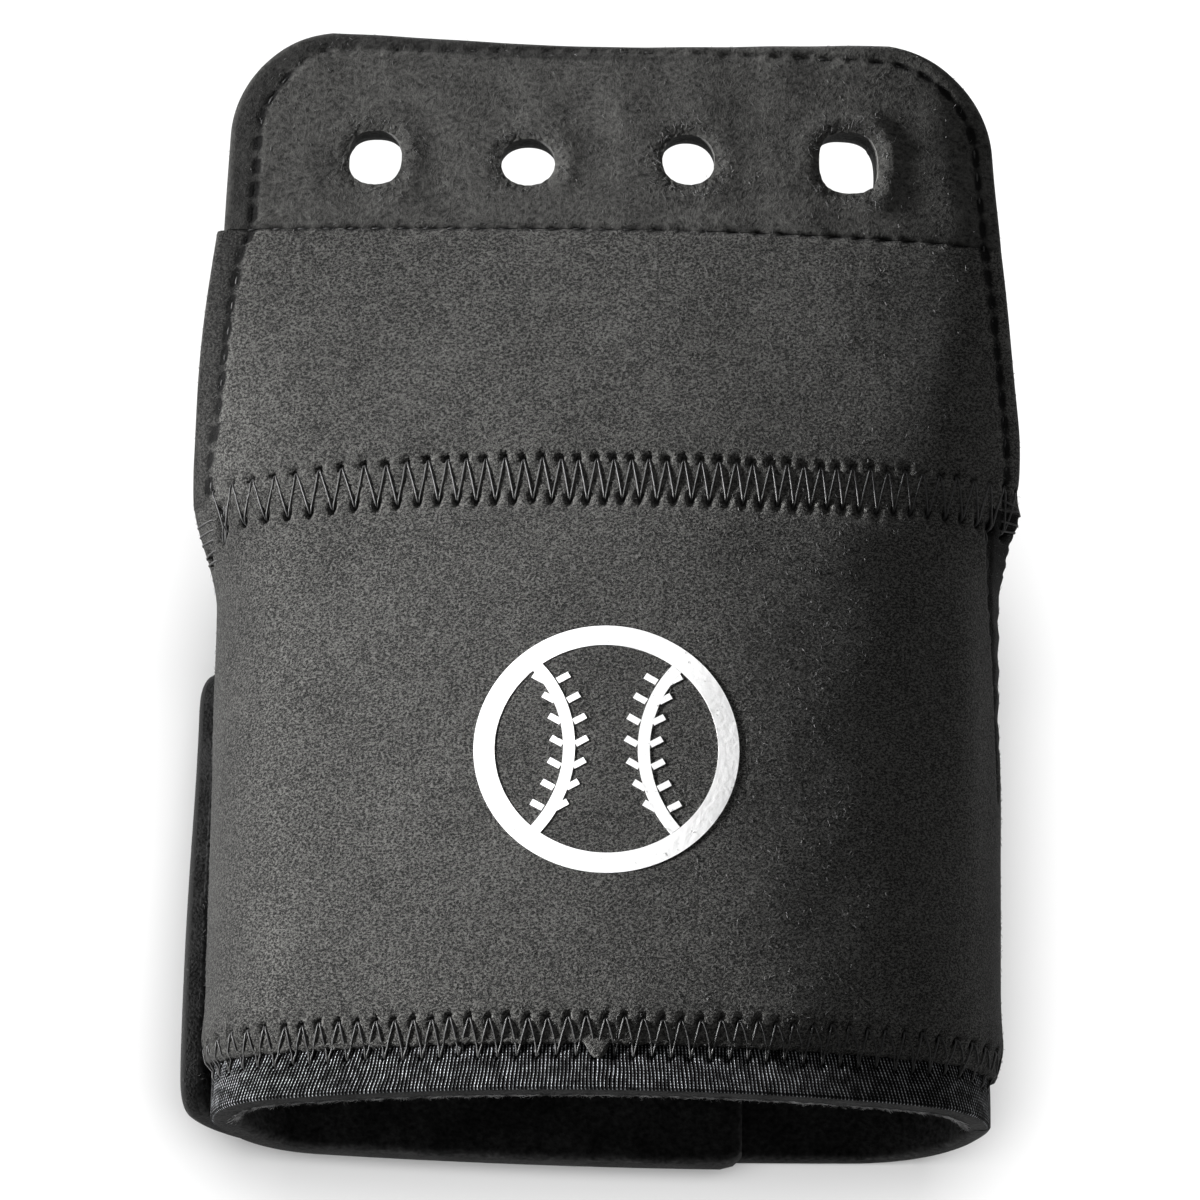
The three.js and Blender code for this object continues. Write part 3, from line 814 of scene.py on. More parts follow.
# Flap lining: the back layer of the flap, the same neoprene foam as the sleeve, with its pile at the back.
# It is sewn to the sleeve at the waist and carries the suede layers. The lace holes are punched through it.
LACE_SEAM = 101.5
FLAP_TOP = 126.3
FLAP_ROWS = [
    {"height": WAIST, "left": 49.4, "right": 48.6},
    {"height": LACE_SEAM, "left": 44.8, "right": 45},
    {"height": FLAP_TOP, "left": 43.8, "right": 42.9},
]
FLAP_STEP = 0.8
SHELL_INSET = 0.15
TOP_CORNER = 13
TOP_SCOOP = 1.8
HOLE_DIAMETER = 6.35
HOLES = [
    {"at": -27.4, "half_width": 3.05, "half_height": 3.6, "square": 2.5, "lift": 0.75, "crest": 0.15},
    {"at": -9.8, "half_width": 3.1, "half_height": 3.18, "square": 2.2, "lift": 0.3, "crest": 0.18},
    {"at": 8.6, "half_width": 3.0, "half_height": 3.4, "square": 2.2, "lift": 0.9, "crest": 0.1},
    {"at": 27.0, "half_width": 3.4, "half_height": 4.05, "square": 2.7, "lift": 1.3, "crest": 0.3},
]
HOLE_WARP = 7
HOLE_LIP = 0.3
HOLE_STEP = HOLE_DIAMETER / 16
LINING_EDGE = 0.5
CORNER_STEPS = 33
RIM_STRIP = {"wide": 0.9, "step": 0.18}


def flap_edge(y, side):
    """How far the flap's left or right side lies from the middle at each height."""
    heights = [row["height"] for row in FLAP_ROWS]
    rise = np.clip((y - FLAP_TOP + TOP_CORNER) / TOP_CORNER, 0, 1)
    corner = TOP_CORNER * (1 - np.sqrt(1 - rise**2))
    step = FLAP_STEP * (y < LACE_SEAM) if side == "left" else 0
    return np.interp(y, heights, [row[side] for row in FLAP_ROWS]) - corner + step


def flap_trim(s, y):
    """How far the top edge is cut hollow."""
    dip = np.cos(math.pi / 2 * s / FLAP_ROWS[-1]["left"]) ** 2
    return TOP_SCOOP * dip * smooth(y, HOLE_ROW + HOLE_DIAMETER, FLAP_TOP)


def flap_place(inset, holes):
    """Places of a flap layer, whose columns are millimetres across the row of holes and rows are heights."""

    def place(column, row):
        left = flap_edge(row, "left") - inset
        right = flap_edge(row, "right") - inset
        left_here = flap_edge(HOLE_ROW, "left") - inset
        right_here = flap_edge(HOLE_ROW, "right") - inset
        near = np.where(column < 0, -column / left_here, column / right_here) ** 3
        s = column + np.where(column < 0, left_here - left, right - right_here) * near
        for hole in holes:
            s, row = hole_warp(s, row, hole)
        return s, row - flap_trim(s, row)

    return place


def hole_warp(s, y, hole):
    """Draws the square mesh round a hole into the hole's own soft outline."""
    across = s - hole["at"]
    along = y - HOLE_ROW
    radius = HOLE_DIAMETER / 2
    size = np.maximum(np.abs(across), np.abs(along))
    power = hole["square"]
    soft = np.maximum((np.abs(across) ** power + np.abs(along) ** power) ** (1 / power), 1e-9)
    share = 1 - smooth(size, radius, HOLE_WARP)
    shrink = np.where(size > 1e-6, size / soft, 1)
    wide = mix(1, shrink * hole["half_width"] / radius, share)
    tall = mix(1, shrink * hole["half_height"] / radius, share)
    return hole["at"] + across * wide, HOLE_ROW + along * tall + hole["lift"] * share


def flap_columns(inset, step):
    """Columns of a flap layer: close together at its edges, with lines at both sides of each hole."""
    left = flap_edge(HOLE_ROW, "left") - inset
    right = flap_edge(HOLE_ROW, "right") - inset
    stretches = [(RIM_STRIP["wide"] - left, RIM_STRIP["step"])]
    for hole in HOLES:
        stretches += [(hole["at"] - HOLE_DIAMETER / 2, step), (hole["at"] + HOLE_DIAMETER / 2, HOLE_STEP)]
    stretches += [(right - RIM_STRIP["wide"], step), (right, RIM_STRIP["step"])]
    return places(-left, *stretches)


corner_start = FLAP_TOP - TOP_CORNER


def corner_rows(top):
    """Rows up the round top corners, closer together towards the top edge."""
    return mix(corner_start, top, np.sin(np.linspace(0, math.pi / 2, CORNER_STEPS + 1)))[1:]


def punch(piece, holes):
    """Takes out the faces inside the lace holes."""
    only(piece)
    middles = np.empty(len(piece.data.polygons) * 3)
    piece.data.polygons.foreach_get("center", middles)
    middles = middles.reshape(-1, 3)
    inside = np.zeros(len(middles), bool)
    for hole in holes:
        across = (middles[:, 0] - hole["at"]) / hole["half_width"]
        along = (middles[:, 1] - HOLE_ROW - hole["lift"]) / hole["half_height"]
        inside |= (np.abs(across) ** hole["square"] + np.abs(along) ** hole["square"]) < 1
    bpy.ops.object.mode_set(mode="EDIT")
    bpy.ops.mesh.select_mode(type="FACE")
    bpy.ops.mesh.select_all(action="DESELECT")
    bpy.ops.object.mode_set(mode="OBJECT")
    piece.data.polygons.foreach_set("select", inside)
    bpy.ops.object.mode_set(mode="EDIT")
    bpy.ops.mesh.delete(type="FACE")
    bpy.ops.object.mode_set(mode="OBJECT")


hole_rows = (HOLE_ROW - HOLE_DIAMETER / 2, HOLE_ROW + HOLE_DIAMETER / 2)
lining_rows = places(
    WAIST + SEAM_GAP / 2, (LACE_SEAM - 0.01, 1.0), (LACE_SEAM + 0.01, 1.0), (hole_rows[0], 0.8),
    (hole_rows[1], HOLE_STEP),
)
lining_rows = lining_rows[lining_rows < corner_start]
lining_rows = np.concatenate([lining_rows, [corner_start], corner_rows(FLAP_TOP)])
lining_holes = [{**hole, "half_width": hole["half_width"] + HOLE_LIP} for hole in HOLES]
lining = flat_cloth("flap_back", flap_columns(0, 1.0), lining_rows, flap_place(0, lining_holes))
punch(lining, lining_holes)
lining_outline = outline_of(lining)
s, y, face = thicken(lining, SLEEVE_WALL, foam, pile, foam)
past_waist = lining_outline[:, :, 1].min(1) > WAIST + 0.5
edge = distance_to(lining_outline[past_waist], np.column_stack([s, y]))
h = np.where(face, -rounding(edge, LINING_EDGE), rounding(edge, PILE_EDGE) - SLEEVE_WALL)
set_points(lining, on_cuff(s, y, h))
finish_piece(lining, "knit", "flap_lining")

# Flap shell: the suede front layer of the flap, between the waist seam and the lace strip.
# It is cut from the same suede as the front panel and topstitched down a little inside its edges.
EDGE_SEAM = {"inset": 2.4, "more_at_left": 1.1, "reach": (34, 42), "deep": 0.45, "dark": 2.3}
LACE_GROOVE = {"deep": 0.35, "dark": 1.1}
EDGE_STITCH = 2.9
STITCH_GROOVE = {"wide": 0.36, "tight": (0.55, 1), "dash": (0.4, 0.75), "between": 0.3}
EDGE_SEED = 31
LACE_SEED = 32
RIM_BAND_SHADE = {"dark": 0.52, "over": 0.6, "reach": (-10, 30)}
FLAP_CURL = {"raise": 0.5, "reach": (12, 50), "full_over": 10}
FLAP_UNEVEN = {"raise": 0.12, "lengths": (19, 27, 13), "seed": 8}
FLAP_NAP = {"cells": 4.6, "soft": 0.22, "patch": 0.4, "uneven": 0.12, "deep": 0.16}


def even_steps(points, step):
    """Points at even steps along a line."""
    run = np.concatenate([[0], np.cumsum(np.linalg.norm(np.diff(points, axis=0), axis=1))])
    at = np.linspace(0, run[-1], max(2, round(run[-1] / step) + 1))
    return np.column_stack([np.interp(at, run, points[:, axis]) for axis in range(points.shape[1])])


def flap_rim():
    """The flap's outer edge as one line, up the left side, across the top and down the right."""
    sides = np.linspace(WAIST + 1, LACE_SEAM - 0.05, 30)
    upper = np.linspace(LACE_SEAM + 0.05, corner_start, 12)
    heights = np.concatenate([sides, upper, corner_rows(FLAP_TOP)])
    left = np.column_stack([-flap_edge(heights, "left"), heights])
    right = np.column_stack([flap_edge(heights, "right"), heights])[::-1]
    rim = np.concatenate([left, right])
    rim[:, 1] -= flap_trim(rim[:, 0], rim[:, 1])
    return rim


def seam_inset(s):
    """How far inside the flap's edge its topstitch runs, a little further at the left side."""
    return EDGE_SEAM["inset"] + EDGE_SEAM["more_at_left"] * smooth(-s, *EDGE_SEAM["reach"])


def inset_line(points):
    """The line of the topstitch, drawn inside the edge, to the right of its run."""
    even = even_steps(points, 1.0)
    run = np.gradient(even, axis=0)
    run /= np.linalg.norm(run, axis=1)[:, None]
    return even + seam_inset(even[:, :1]) * np.column_stack([run[:, 1], -run[:, 0]])


edge_seam = inset_line(flap_rim())
lace_across = np.linspace(2 - flap_edge(LACE_SEAM + 0.1, "left"), flap_edge(LACE_SEAM, "right") - 2, 90)
lace_line = np.column_stack([lace_across, LACE_SEAM - flap_trim(lace_across, np.full(90, LACE_SEAM))])


def along_line(line, flat):
    """How far along a line, and how far from it, each flat place lies."""
    step = 0.25
    dots = even_steps(line, step)
    nearest = []
    away = []
    for part in np.array_split(flat, len(flat) // NEAREST_BATCH + 1):
        gap = ((part[:, None] - dots) ** 2).sum(2)
        nearest.append(gap.argmin(1) * step)
        away.append(np.sqrt(gap.min(1)))
    return np.concatenate(nearest), np.concatenate(away)


def stitched(s, y, line, seed):
    """A topstitch that draws the suede down under each dash of thread, from 0 to 1."""
    run, away = along_line(line, np.column_stack([s, y]))
    place = run / EDGE_STITCH
    phase = np.abs(place % 1 - 0.5) * 2
    tight = np.random.default_rng(seed).uniform(*STITCH_GROOVE["tight"], 400)[place.astype(int)]
    dash = tight * (1 - smooth(phase, *STITCH_GROOVE["dash"]))
    return np.exp(-((away / STITCH_GROOVE["wide"]) ** 2)) * mix(STITCH_GROOVE["between"], 1, dash)


def rim_band_shade(s, edge):
    """How much shade is painted on the band outside the edge stitch, where the nap is pressed smooth, most
    at the left.
    """
    outside = 1 - smooth(edge, seam_inset(s) - RIM_BAND_SHADE["over"], seam_inset(s))
    return RIM_BAND_SHADE["dark"] * outside * (1 - smooth(s, *RIM_BAND_SHADE["reach"]))


def flap_curl(s):
    """How far the right side of the flap's suede stands off its lining."""
    return FLAP_CURL["raise"] * smooth(s, *FLAP_CURL["reach"])


def flap_height(s, y):
    """Height of the flap's suede, pressed at the waist, with its right side standing off the lining."""
    pressed = WAIST_PRESS["deep"] * (1 - smooth(y, WAIST, WAIST + WAIST_PRESS["tall"]))
    curl = flap_curl(s) * smooth(y, WAIST, WAIST + FLAP_CURL["full_over"])
    return SUEDE_FACE - pressed + curl + waves(s, y, FLAP_UNEVEN) + knot(s, y)


flap_suede = suede_finish("flap_suede", (0.01, 0.0099, 0.0094), (0.098, 0.0968, 0.0922), FLAP_NAP)
shell_rows = places(WAIST + WAIST_BUTT, (WAIST + 6.5, 0.36), (LACE_SEAM - 3, 0.62), (LACE_SEAM - 0.03, 0.3))
shell = flat_cloth("suede_flap", flap_columns(SHELL_INSET, 0.5), shell_rows, flap_place(SHELL_INSET, HOLES))
shell_outline = outline_of(shell)
s, y, face = thicken(shell, SUEDE_WALL, flap_suede, foam, flap_suede)
flat = np.column_stack([s, y])
rise = np.abs(np.diff(shell_outline, axis=1))[:, 0]
edge = distance_to(shell_outline[rise[:, 1] > rise[:, 0]], flat)
pull = seam_pull(s, y)
groove = stitched(s, y, edge_seam, EDGE_SEED)
lace = stitched(s, y, lace_line, LACE_SEED)
roll = rounding(edge, SUEDE_EDGE)
h = flap_height(s, y) - roll - SEAM_PIT * pull - EDGE_SEAM["deep"] * groove - LACE_GROOVE["deep"] * lace
set_points(shell, on_cuff(s, y, np.where(face, h, SUEDE_UNDER)))
# Shade is painted into the needle pits and the stitch grooves, and on the band outside the edge stitch.
dark = [pull, EDGE_SEAM["dark"] * groove, LACE_GROOVE["dark"] * lace, rim_band_shade(s, edge)]
keep_painted_shade(shell, np.where(face, np.maximum.reduce(dark), 0))
finish_piece(shell, "suede", "flap_shell")

# Lace strip: a smoother suede strip along the top of the flap, with the same four holes as the lining.
# It is joined to the shell at the lace seam and topstitched round its edge. The holes were punched
# after sewing, so their lips are rough and the nap is dished round them.
LIP = {
    "wide": 0.7, "deep": 0.15, "crest_at": 1.6, "crest_wide": 1.25, "crest_towards": math.radians(35),
    "torn": 0.3, "rough": 0.12, "rough_over": 1.6, "wall_dark": 0.6,
}
STRIP_GROOVE = {"deep": 0.3, "dark_at_top": 0.5, "dark_at_sides": 2.1, "right": (25, 38), "left": (34, 40)}
STRIP_UNEVEN = {"raise": 0.15, "lengths": (9, 14, 21), "seed": 21}
STRIP_NAP = {"cells": 2.4, "soft": 0.5, "patch": 0.35, "uneven": 0.4, "deep": 0.12}

strip_holes = []
for hole in HOLES:
    smaller = {"lift": hole["lift"] - HOLE_LIP, "half_height": hole["half_height"] - HOLE_LIP}
    strip_holes.append({**hole, **smaller})


def strip_height(s, y):
    """Height of the strip's face, without its holes and edges."""
    return SUEDE_FACE + flap_curl(s) + waves(s, y, STRIP_UNEVEN)


def hole_distance(s, y, hole):
    """How far each place lies outside a lace hole."""
    across = (s - hole["at"]) / hole["half_width"]
    along = (y - HOLE_ROW - hole["lift"]) / hole["half_height"]
    power = hole["square"]
    soft = (np.abs(across) ** power + np.abs(along) ** power) ** (1 / power)
    return (soft - 1) * (hole["half_width"] + hole["half_height"]) / 2


def nearest_hole(s, y):
    """How far each place lies outside the nearest lace hole."""
    return np.minimum.reduce([hole_distance(s, y, hole) for hole in strip_holes])


def hole_crest(s, y):
    """The rim that the punch left standing round each hole, highest to the upper right."""
    total = 0
    for hole in strip_holes:
        angle = np.arctan2(y - HOLE_ROW - hole["lift"], s - hole["at"])
        facing = 0.5 + 0.5 * np.cos(angle - LIP["crest_towards"])
        ring = np.exp(-(((hole_distance(s, y, hole) - LIP["crest_at"]) / LIP["crest_wide"]) ** 2))
        torn = 1 + LIP["torn"] * np.sin(9 * angle + 1.1 * s) * np.sin(4 * angle)
        total = total + hole["crest"] * facing * ring * torn
    return total


strip_suede = suede_finish("strip_suede", (0.009, 0.0089, 0.0085), (0.068, 0.0672, 0.064), STRIP_NAP)
strip_columns = flap_columns(SHELL_INSET, 0.45)
strip_rows = places(
    LACE_SEAM + 0.03, (LACE_SEAM + 2.4, 0.3), (hole_rows[0], 0.45), (hole_rows[1], HOLE_STEP),
    (corner_start, 0.4),
)
strip_rows = np.concatenate([strip_rows, corner_rows(FLAP_TOP - SHELL_INSET)])
strip = flat_cloth("suede_strip", strip_columns, strip_rows, flap_place(SHELL_INSET, strip_holes))
punch(strip, strip_holes)
strip_outline = outline_of(strip)
s, y, face = thicken(strip, SUEDE_WALL, strip_suede, foam, strip_suede)
flat = np.column_stack([s, y])
gap = nearest_hole(s, y)
middle = strip_outline.mean(1)
rise = np.abs(np.diff(strip_outline, axis=1))[:, 0]
outer = (nearest_hole(*middle.T) > 0.6) & ((rise[:, 1] > rise[:, 0]) | (middle[:, 1] > LACE_SEAM + 2))
edge = distance_to(strip_outline[outer], flat)
groove = stitched(s, y, edge_seam, EDGE_SEED)
lace = stitched(s, y, lace_line, LACE_SEED)
rough = LIP["rough"] * np.sin(5.1 * s + 1.7 * y) * np.sin(4.3 * y - 2.2 * s)
rough = rough * np.exp(-((gap / LIP["rough_over"]) ** 2))
dish = LIP["deep"] * np.exp(-((np.maximum(gap, 0) / LIP["wide"]) ** 2)) + rough
roll = rounding(edge, SUEDE_EDGE)
h = strip_height(s, y) + hole_crest(s, y) - roll - dish - STRIP_GROOVE["deep"] * (groove + lace)
set_points(strip, on_cuff(s, y, np.where(face, h, SUEDE_UNDER)))
# Shade is painted into the stitch grooves, more at both sides, on the band outside the edge stitch, and on
# the cut walls of the holes.
at_sides = np.maximum(smooth(s, *STRIP_GROOVE["right"]), smooth(-s, *STRIP_GROOVE["left"]))
seam_dark = mix(STRIP_GROOVE["dark_at_top"], STRIP_GROOVE["dark_at_sides"], at_sides)
dark = [seam_dark * groove, lace, rim_band_shade(s, edge)]
keep_painted_shade(strip, np.where(face, np.maximum.reduce(dark), LIP["wall_dark"] * (gap < HOLE_LIP)))
finish_piece(strip, "strip_suede", "lace_strip")

# Seam threads: glossy black polyester. The zigzags at the waist and the hem lie on the suede from needle
# hole to needle hole, and the topstitches are short dashes sunk in their grooves.
ZIGZAG_THREAD = 0.125
STITCH_THREAD = 0.12
THREAD_SINK = {"waist": 0.15, "hem": 0.1, "knit": 0.02}
THREAD_RUN = [
    {"share": 0, "lift": -1}, {"share": 0.06, "lift": -0.2}, {"share": 0.14, "lift": 0.1},
    {"share": 0.3, "lift": 0.14}, {"share": 0.5, "lift": 0.15}, {"share": 0.7, "lift": 0.14},
    {"share": 0.86, "lift": 0.1}, {"share": 0.94, "lift": -0.2}, {"share": 1, "lift": -1},
]
DASH_ARCH = 0.3
BAR_TACKS = [
    {"across": (-45.6, -50.0), "heights": (64.7, 69.0), "count": 5, "bar": (-44.9, -44.3)},
    {"across": (45.4, 48.1), "heights": (68.8, 72.2), "count": 4, "bar": (44.6, 45.1)},
]
TACK = {
    "points": 12, "dive": (0.75, 1), "row_lift": (-0.5, 0.16), "tilt": 0.6, "bar_count": 3,
    "bar_lift": (-0.8, -0.3), "bar_shift": (1.0, 2.2), "sway": 0.1,
}
HOOK_SEAM = {"inset": 7, "long": 35, "heights": (6, 49)}
STRAP_SEAMS = {"at": (2.2, 5.2), "heights": (2.5, 54)}


def thread_finish():
    """Polyester thread: near black, uneven along its twist."""
    finish, shader = new_finish("thread", Roughness=0.5)
    shader.inputs["Specular IOR Level"].default_value = 0.3
    twist = grain(finish, (1, 1, 1), 5.0, detail=1.0)
    link(finish, shades(finish, twist, (0.3, 0.016), (0.7, 0.048)), shader.inputs["Base Color"])
    return finish


thread = thread_finish()


def sew(name, runs, radius):
    """One mesh of round threads, each along a run of points."""
    line = bpy.data.curves.new(name, "CURVE")
    line.dimensions = "3D"
    line.bevel_depth = radius * MM
    line.bevel_resolution = 1
    line.use_fill_caps = True
    for run in runs:
        spline = line.splines.new("POLY")
        spline.points.add(len(run) - 1)
        weighted = np.column_stack([run, np.ones(len(run))])
        spline.points.foreach_set("co", weighted.astype(np.float32).ravel())
    piece = bpy.data.objects.new(name, line)
    bpy.context.collection.objects.link(piece)
    only(piece)
    bpy.ops.object.convert(target="MESH")
    piece = bpy.context.object
    piece.name = piece.data.name = name
    piece.data.materials.clear()
    piece.data.materials.append(thread)
    return finish_piece(piece, "thread", angle=70)


def leg(start, end, height, bow, sink, out=1):
    """A thread that comes up out of one needle hole, lies over the cloth and dives into the next."""
    share = np.array([point["share"] for point in THREAD_RUN])
    lift = np.array([point["lift"] for point in THREAD_RUN])
    s = mix(start[0], end[0], share) + bow * np.sin(math.pi * share)
    y = mix(start[1], end[1], share)
    return on_cuff(s, y, height(s, y) + out * np.where(lift < 0, lift * sink, lift))


def waist_height(s, y):
    """Height at which the waist's zigzag lies on the panel and the flap."""
    return np.where(y < WAIST, panel_height(s, y), flap_height(s, y)) - THREAD_SINK["waist"]


def hem_height(s, y):
    """Height at which the hem's zigzag lies over the suede's cut edge and the knit."""
    past_cut = y - hem_cut(s)
    on_suede = panel_height(s, y) - THREAD_SINK["hem"] - rounding(np.maximum(past_cut, 0), HEM_EDGE)
    return mix(THREAD_SINK["knit"], on_suede, smooth(past_cut, -0.3, 0.3))


def inside_height(s, y):
    """Height of the pile side, for the stitches inside."""
    return np.full(np.shape(s), -SLEEVE_WALL)


def zigzag_legs(seam, height, sink, out=1):
    """Both legs of each stitch, the falling one bowed more towards the right end."""
    runs = []
    count = len(seam["lower"])
    for index, low in enumerate(seam["lower"]):
        bow = mix(*seam["bow"], index / count)
        runs.append(leg(seam["upper"][index], low, height, bow, sink, out))
        runs.append(leg(low, seam["upper"][index + 1], height, 0.0, sink, out))
    return runs


def dashes(line, height, fill, sink, wrap=on_cuff, out=1):
    """Short stitches that fill part of each step along a line."""
    runs = []
    holes = even_steps(line, EDGE_STITCH)
    for start, end in zip(holes[:-1], holes[1:]):
        share = np.linspace(0.5 - fill / 2, 0.5 + fill / 2, 6)
        s = mix(start[0], end[0], share)
        y = mix(start[1], end[1], share)
        arch = DASH_ARCH * np.sin(np.linspace(0, math.pi, len(share))) - sink
        runs.append(wrap(s, y, height(s, y) + out * arch))
    return runs


def tack_height(s, y):
    """Height of the suede at the ends of the waist, over its rolled edges."""
    left = np.where(y < WAIST, panel_left(y), flap_edge(y, "left") - SHELL_INSET)
    right = np.where(y < WAIST, panel_right(y), flap_edge(y, "right") - SHELL_INSET)
    edge = np.maximum(np.minimum(s + left, right - s), 0)
    return waist_height(s, y) - rounding(edge, SUEDE_EDGE)


def bar_tack(tack):
    """Dense stitches at an end of the waist: a row round the cuff's side, and a short bar beside it."""
    runs = []
    count = TACK["points"]
    ends = 1 - smooth(np.abs(np.linspace(-1, 1, count)), *TACK["dive"])
    for y in np.linspace(*tack["heights"], tack["count"]):
        s = np.linspace(*tack["across"], count)
        tilt = y + np.linspace(0, TACK["tilt"] * draws.uniform(-1, 1), count)
        runs.append(on_cuff(s, tilt, tack_height(s, tilt) + mix(*TACK["row_lift"], ends)))
    for s in np.linspace(*tack["bar"], TACK["bar_count"]):
        y = np.linspace(*np.add(tack["heights"], TACK["bar_shift"]), count)
        sway = s + TACK["sway"] * draws.uniform(-1, 1, count)
        runs.append(on_cuff(sway, y, tack_height(sway, y) + mix(*TACK["bar_lift"], ends)))
    return runs


def strap_face(s, y):
    """Height of the strap's outer face."""
    return np.zeros(np.shape(s))


sew("waist_zigzag", zigzag_legs(waist_seam, waist_height, sink=0.8), ZIGZAG_THREAD)
sew("hem_zigzag", zigzag_legs(hem_seam, hem_height, sink=0.6), ZIGZAG_THREAD)
sew("waist_zigzag_inside", zigzag_legs(waist_seam, inside_height, sink=0.5, out=-1), ZIGZAG_THREAD)
sew("hem_zigzag_inside", zigzag_legs(hem_seam, inside_height, sink=0.5, out=-1), ZIGZAG_THREAD)
sew("bar_tack_left", bar_tack(BAR_TACKS[0]), ZIGZAG_THREAD)
sew("bar_tack_right", bar_tack(BAR_TACKS[1]), ZIGZAG_THREAD)
sew("edge_topstitch", dashes(edge_seam, flap_height, fill=0.6, sink=0.6), STITCH_THREAD)
sew("lace_topstitch", dashes(lace_line, flap_height, fill=0.5, sink=0.55), STITCH_THREAD)
back_dashes = dashes(edge_seam, inside_height, fill=0.6, sink=0.2, out=-1)
sew("edge_topstitch_back", back_dashes, STITCH_THREAD)
sew("side_topstitch", dashes(side_line, panel_height, fill=0.6, sink=0.65), STITCH_THREAD)
near_end = strap_length - HOOK_SEAM["inset"]
far_end = near_end - HOOK_SEAM["long"]
low, high = HOOK_SEAM["heights"]
hook_box = np.array([[far_end, low], [near_end, low], [near_end, high], [far_end, high], [far_end, low]])
strap_seams = dashes(hook_box, strap_face, fill=0.6, sink=0.45, wrap=on_strap)
for at in STRAP_SEAMS["at"]:
    row = np.column_stack([np.full(30, at), np.linspace(*STRAP_SEAMS["heights"], 30)])
    strap_seams += dashes(row, strap_face, fill=0.6, sink=0.45, wrap=on_strap)
sew("strap_topstitch", strap_seams, STITCH_THREAD)

# Printed mark: a plain ball with two curved seams, cut from thin white transfer film.
# It is pressed on the middle of the front panel with heat, so it follows the swell of the suede.
MARK = {"height": 38.5, "radius": 14.5, "stroke": 2.3, "seam": 1.3, "raise": 0.09, "film": 0.12}
MARK_SEAM_AWAY = 1.28 * MARK["radius"]
MARK_STITCH = {"count": 7, "turn": 0.54, "lean": (0.86, 0.5), "from": 0.82, "to": 2.3, "wide": 0.72}


def film_finish():
    """Transfer film: white with fine pores."""
    finish, shader = new_finish("print_film", Roughness=0.55)
    pores = grain(finish, (1, 1, 1), 1.4, detail=2.0)
    link(finish, shades(finish, pores, (0.2, 0.66), (0.34, 0.8)), shader.inputs["Base Color"])
    raise_by(finish, shader, pores, 0.04)
    return finish


def film_band(centre, half_stroke, across):
    """A flat band along a line of places on the cloth."""
    run = np.gradient(centre, axis=0)
    run /= np.linalg.norm(run, axis=1)[:, None]
    side = np.column_stack([-run[:, 1], run[:, 0]])
    share = np.linspace(-1, 1, across)
    return centre[:, None] + side[:, None] * (share[:, None] * half_stroke)


def film_piece(name, bands):
    """One flat mesh of film, from bands that are each closed in a loop or open."""
    points = []
    faces = []
    for band, loop in bands:
        start = len(points)
        rows, across = band.shape[:2]
        points += [tuple(point) for point in band.reshape(-1, 2)]
        for j in range(rows if loop else rows - 1):
            for i in range(across - 1):
                one = start + j * across + i
                other = start + (j + 1) % rows * across + i
                faces.append((one, other, other + 1, one + 1))
    mesh = bpy.data.meshes.new(name)
    mesh.from_pydata([(s, y, 0) for s, y in points], [], faces)
    piece = bpy.data.objects.new(name, mesh)
    bpy.context.collection.objects.link(piece)
    only(piece)
    bpy.ops.object.mode_set(mode="EDIT")
    bpy.ops.mesh.select_all(action="SELECT")
    bpy.ops.mesh.normals_make_consistent(inside=False)
    bpy.ops.object.mode_set(mode="OBJECT")
    return piece


around = np.linspace(0, 2 * math.pi, 120, endpoint=False)
inner = MARK["radius"] - MARK["stroke"] - 0.05
ring = np.column_stack([np.cos(around), np.sin(around)]) * (MARK["radius"] - MARK["stroke"] / 2)
bands = [(film_band(ring, MARK["stroke"] / 2, 4), True)]
seam_turn = MARK["radius"] ** 2 + MARK_SEAM_AWAY**2 - inner**2
seam_turn = math.acos(seam_turn / (2 * MARK["radius"] * MARK_SEAM_AWAY))


def ball_seam(turn, side):
    """A place on one of the ball's two curved seams."""
    across = side * (MARK_SEAM_AWAY - MARK["radius"] * np.cos(turn))
    return np.stack([across, MARK["radius"] * np.sin(turn)], axis=-1)


for side in (-1, 1):
    seam_line = ball_seam(np.linspace(-seam_turn, seam_turn, 40), side)
    bands.append((film_band(seam_line, MARK["seam"] / 2, 3), False))
    for turn in np.linspace(-MARK_STITCH["turn"], MARK_STITCH["turn"], MARK_STITCH["count"]):
        for way in (-1, 1):
            lean = MARK_STITCH["lean"] * np.array([way, 1])
            ends = ball_seam(turn, side) + np.array([[MARK_STITCH["from"]], [MARK_STITCH["to"]]]) * lean
            bands.append((film_band(np.linspace(*ends, 5), MARK_STITCH["wide"] / 2, 3), False))
mark = film_piece("printed_mark", bands)
flat = points_of(mark)
flat[:, 1] += MARK["height"]
set_points(mark, flat)
film = film_finish()
s, y, face = thicken(mark, MARK["film"], film, film, film)
h = panel_height(s, y) + np.where(face, MARK["raise"], MARK["raise"] - MARK["film"])
set_points(mark, on_cuff(s, y, h))
finish_piece(mark, "print_film")

# Loose fibres: the nap that stands off the suede, the rough lips of the punched holes and the pile
# along the cut rim and at the strap's end. Each group is one mesh of thin curved strands, rooted in the
# piece that it grows from.
FIBRE_RINGS = [{"at": 0, "thick": 1}, {"at": 0.4, "thick": 0.9}, {"at": 0.75, "thick": 0.65}]
FIBRE_ARCH = {"rise": 1.5, "fall": 0.8}


def fibre_finish(name, dull, pale):
    """Loose fibre: matt grey that varies from strand to strand."""
    finish, shader = new_finish(name, Roughness=0.9)
    tone = grain(finish, (1, 1, 1), 0.9, detail=1.0)
    link(finish, shades(finish, tone, (0.35, dull), (0.7, pale)), shader.inputs["Base Color"])
    return finish


fibre = fibre_finish("fibre", 0.03, 0.13)
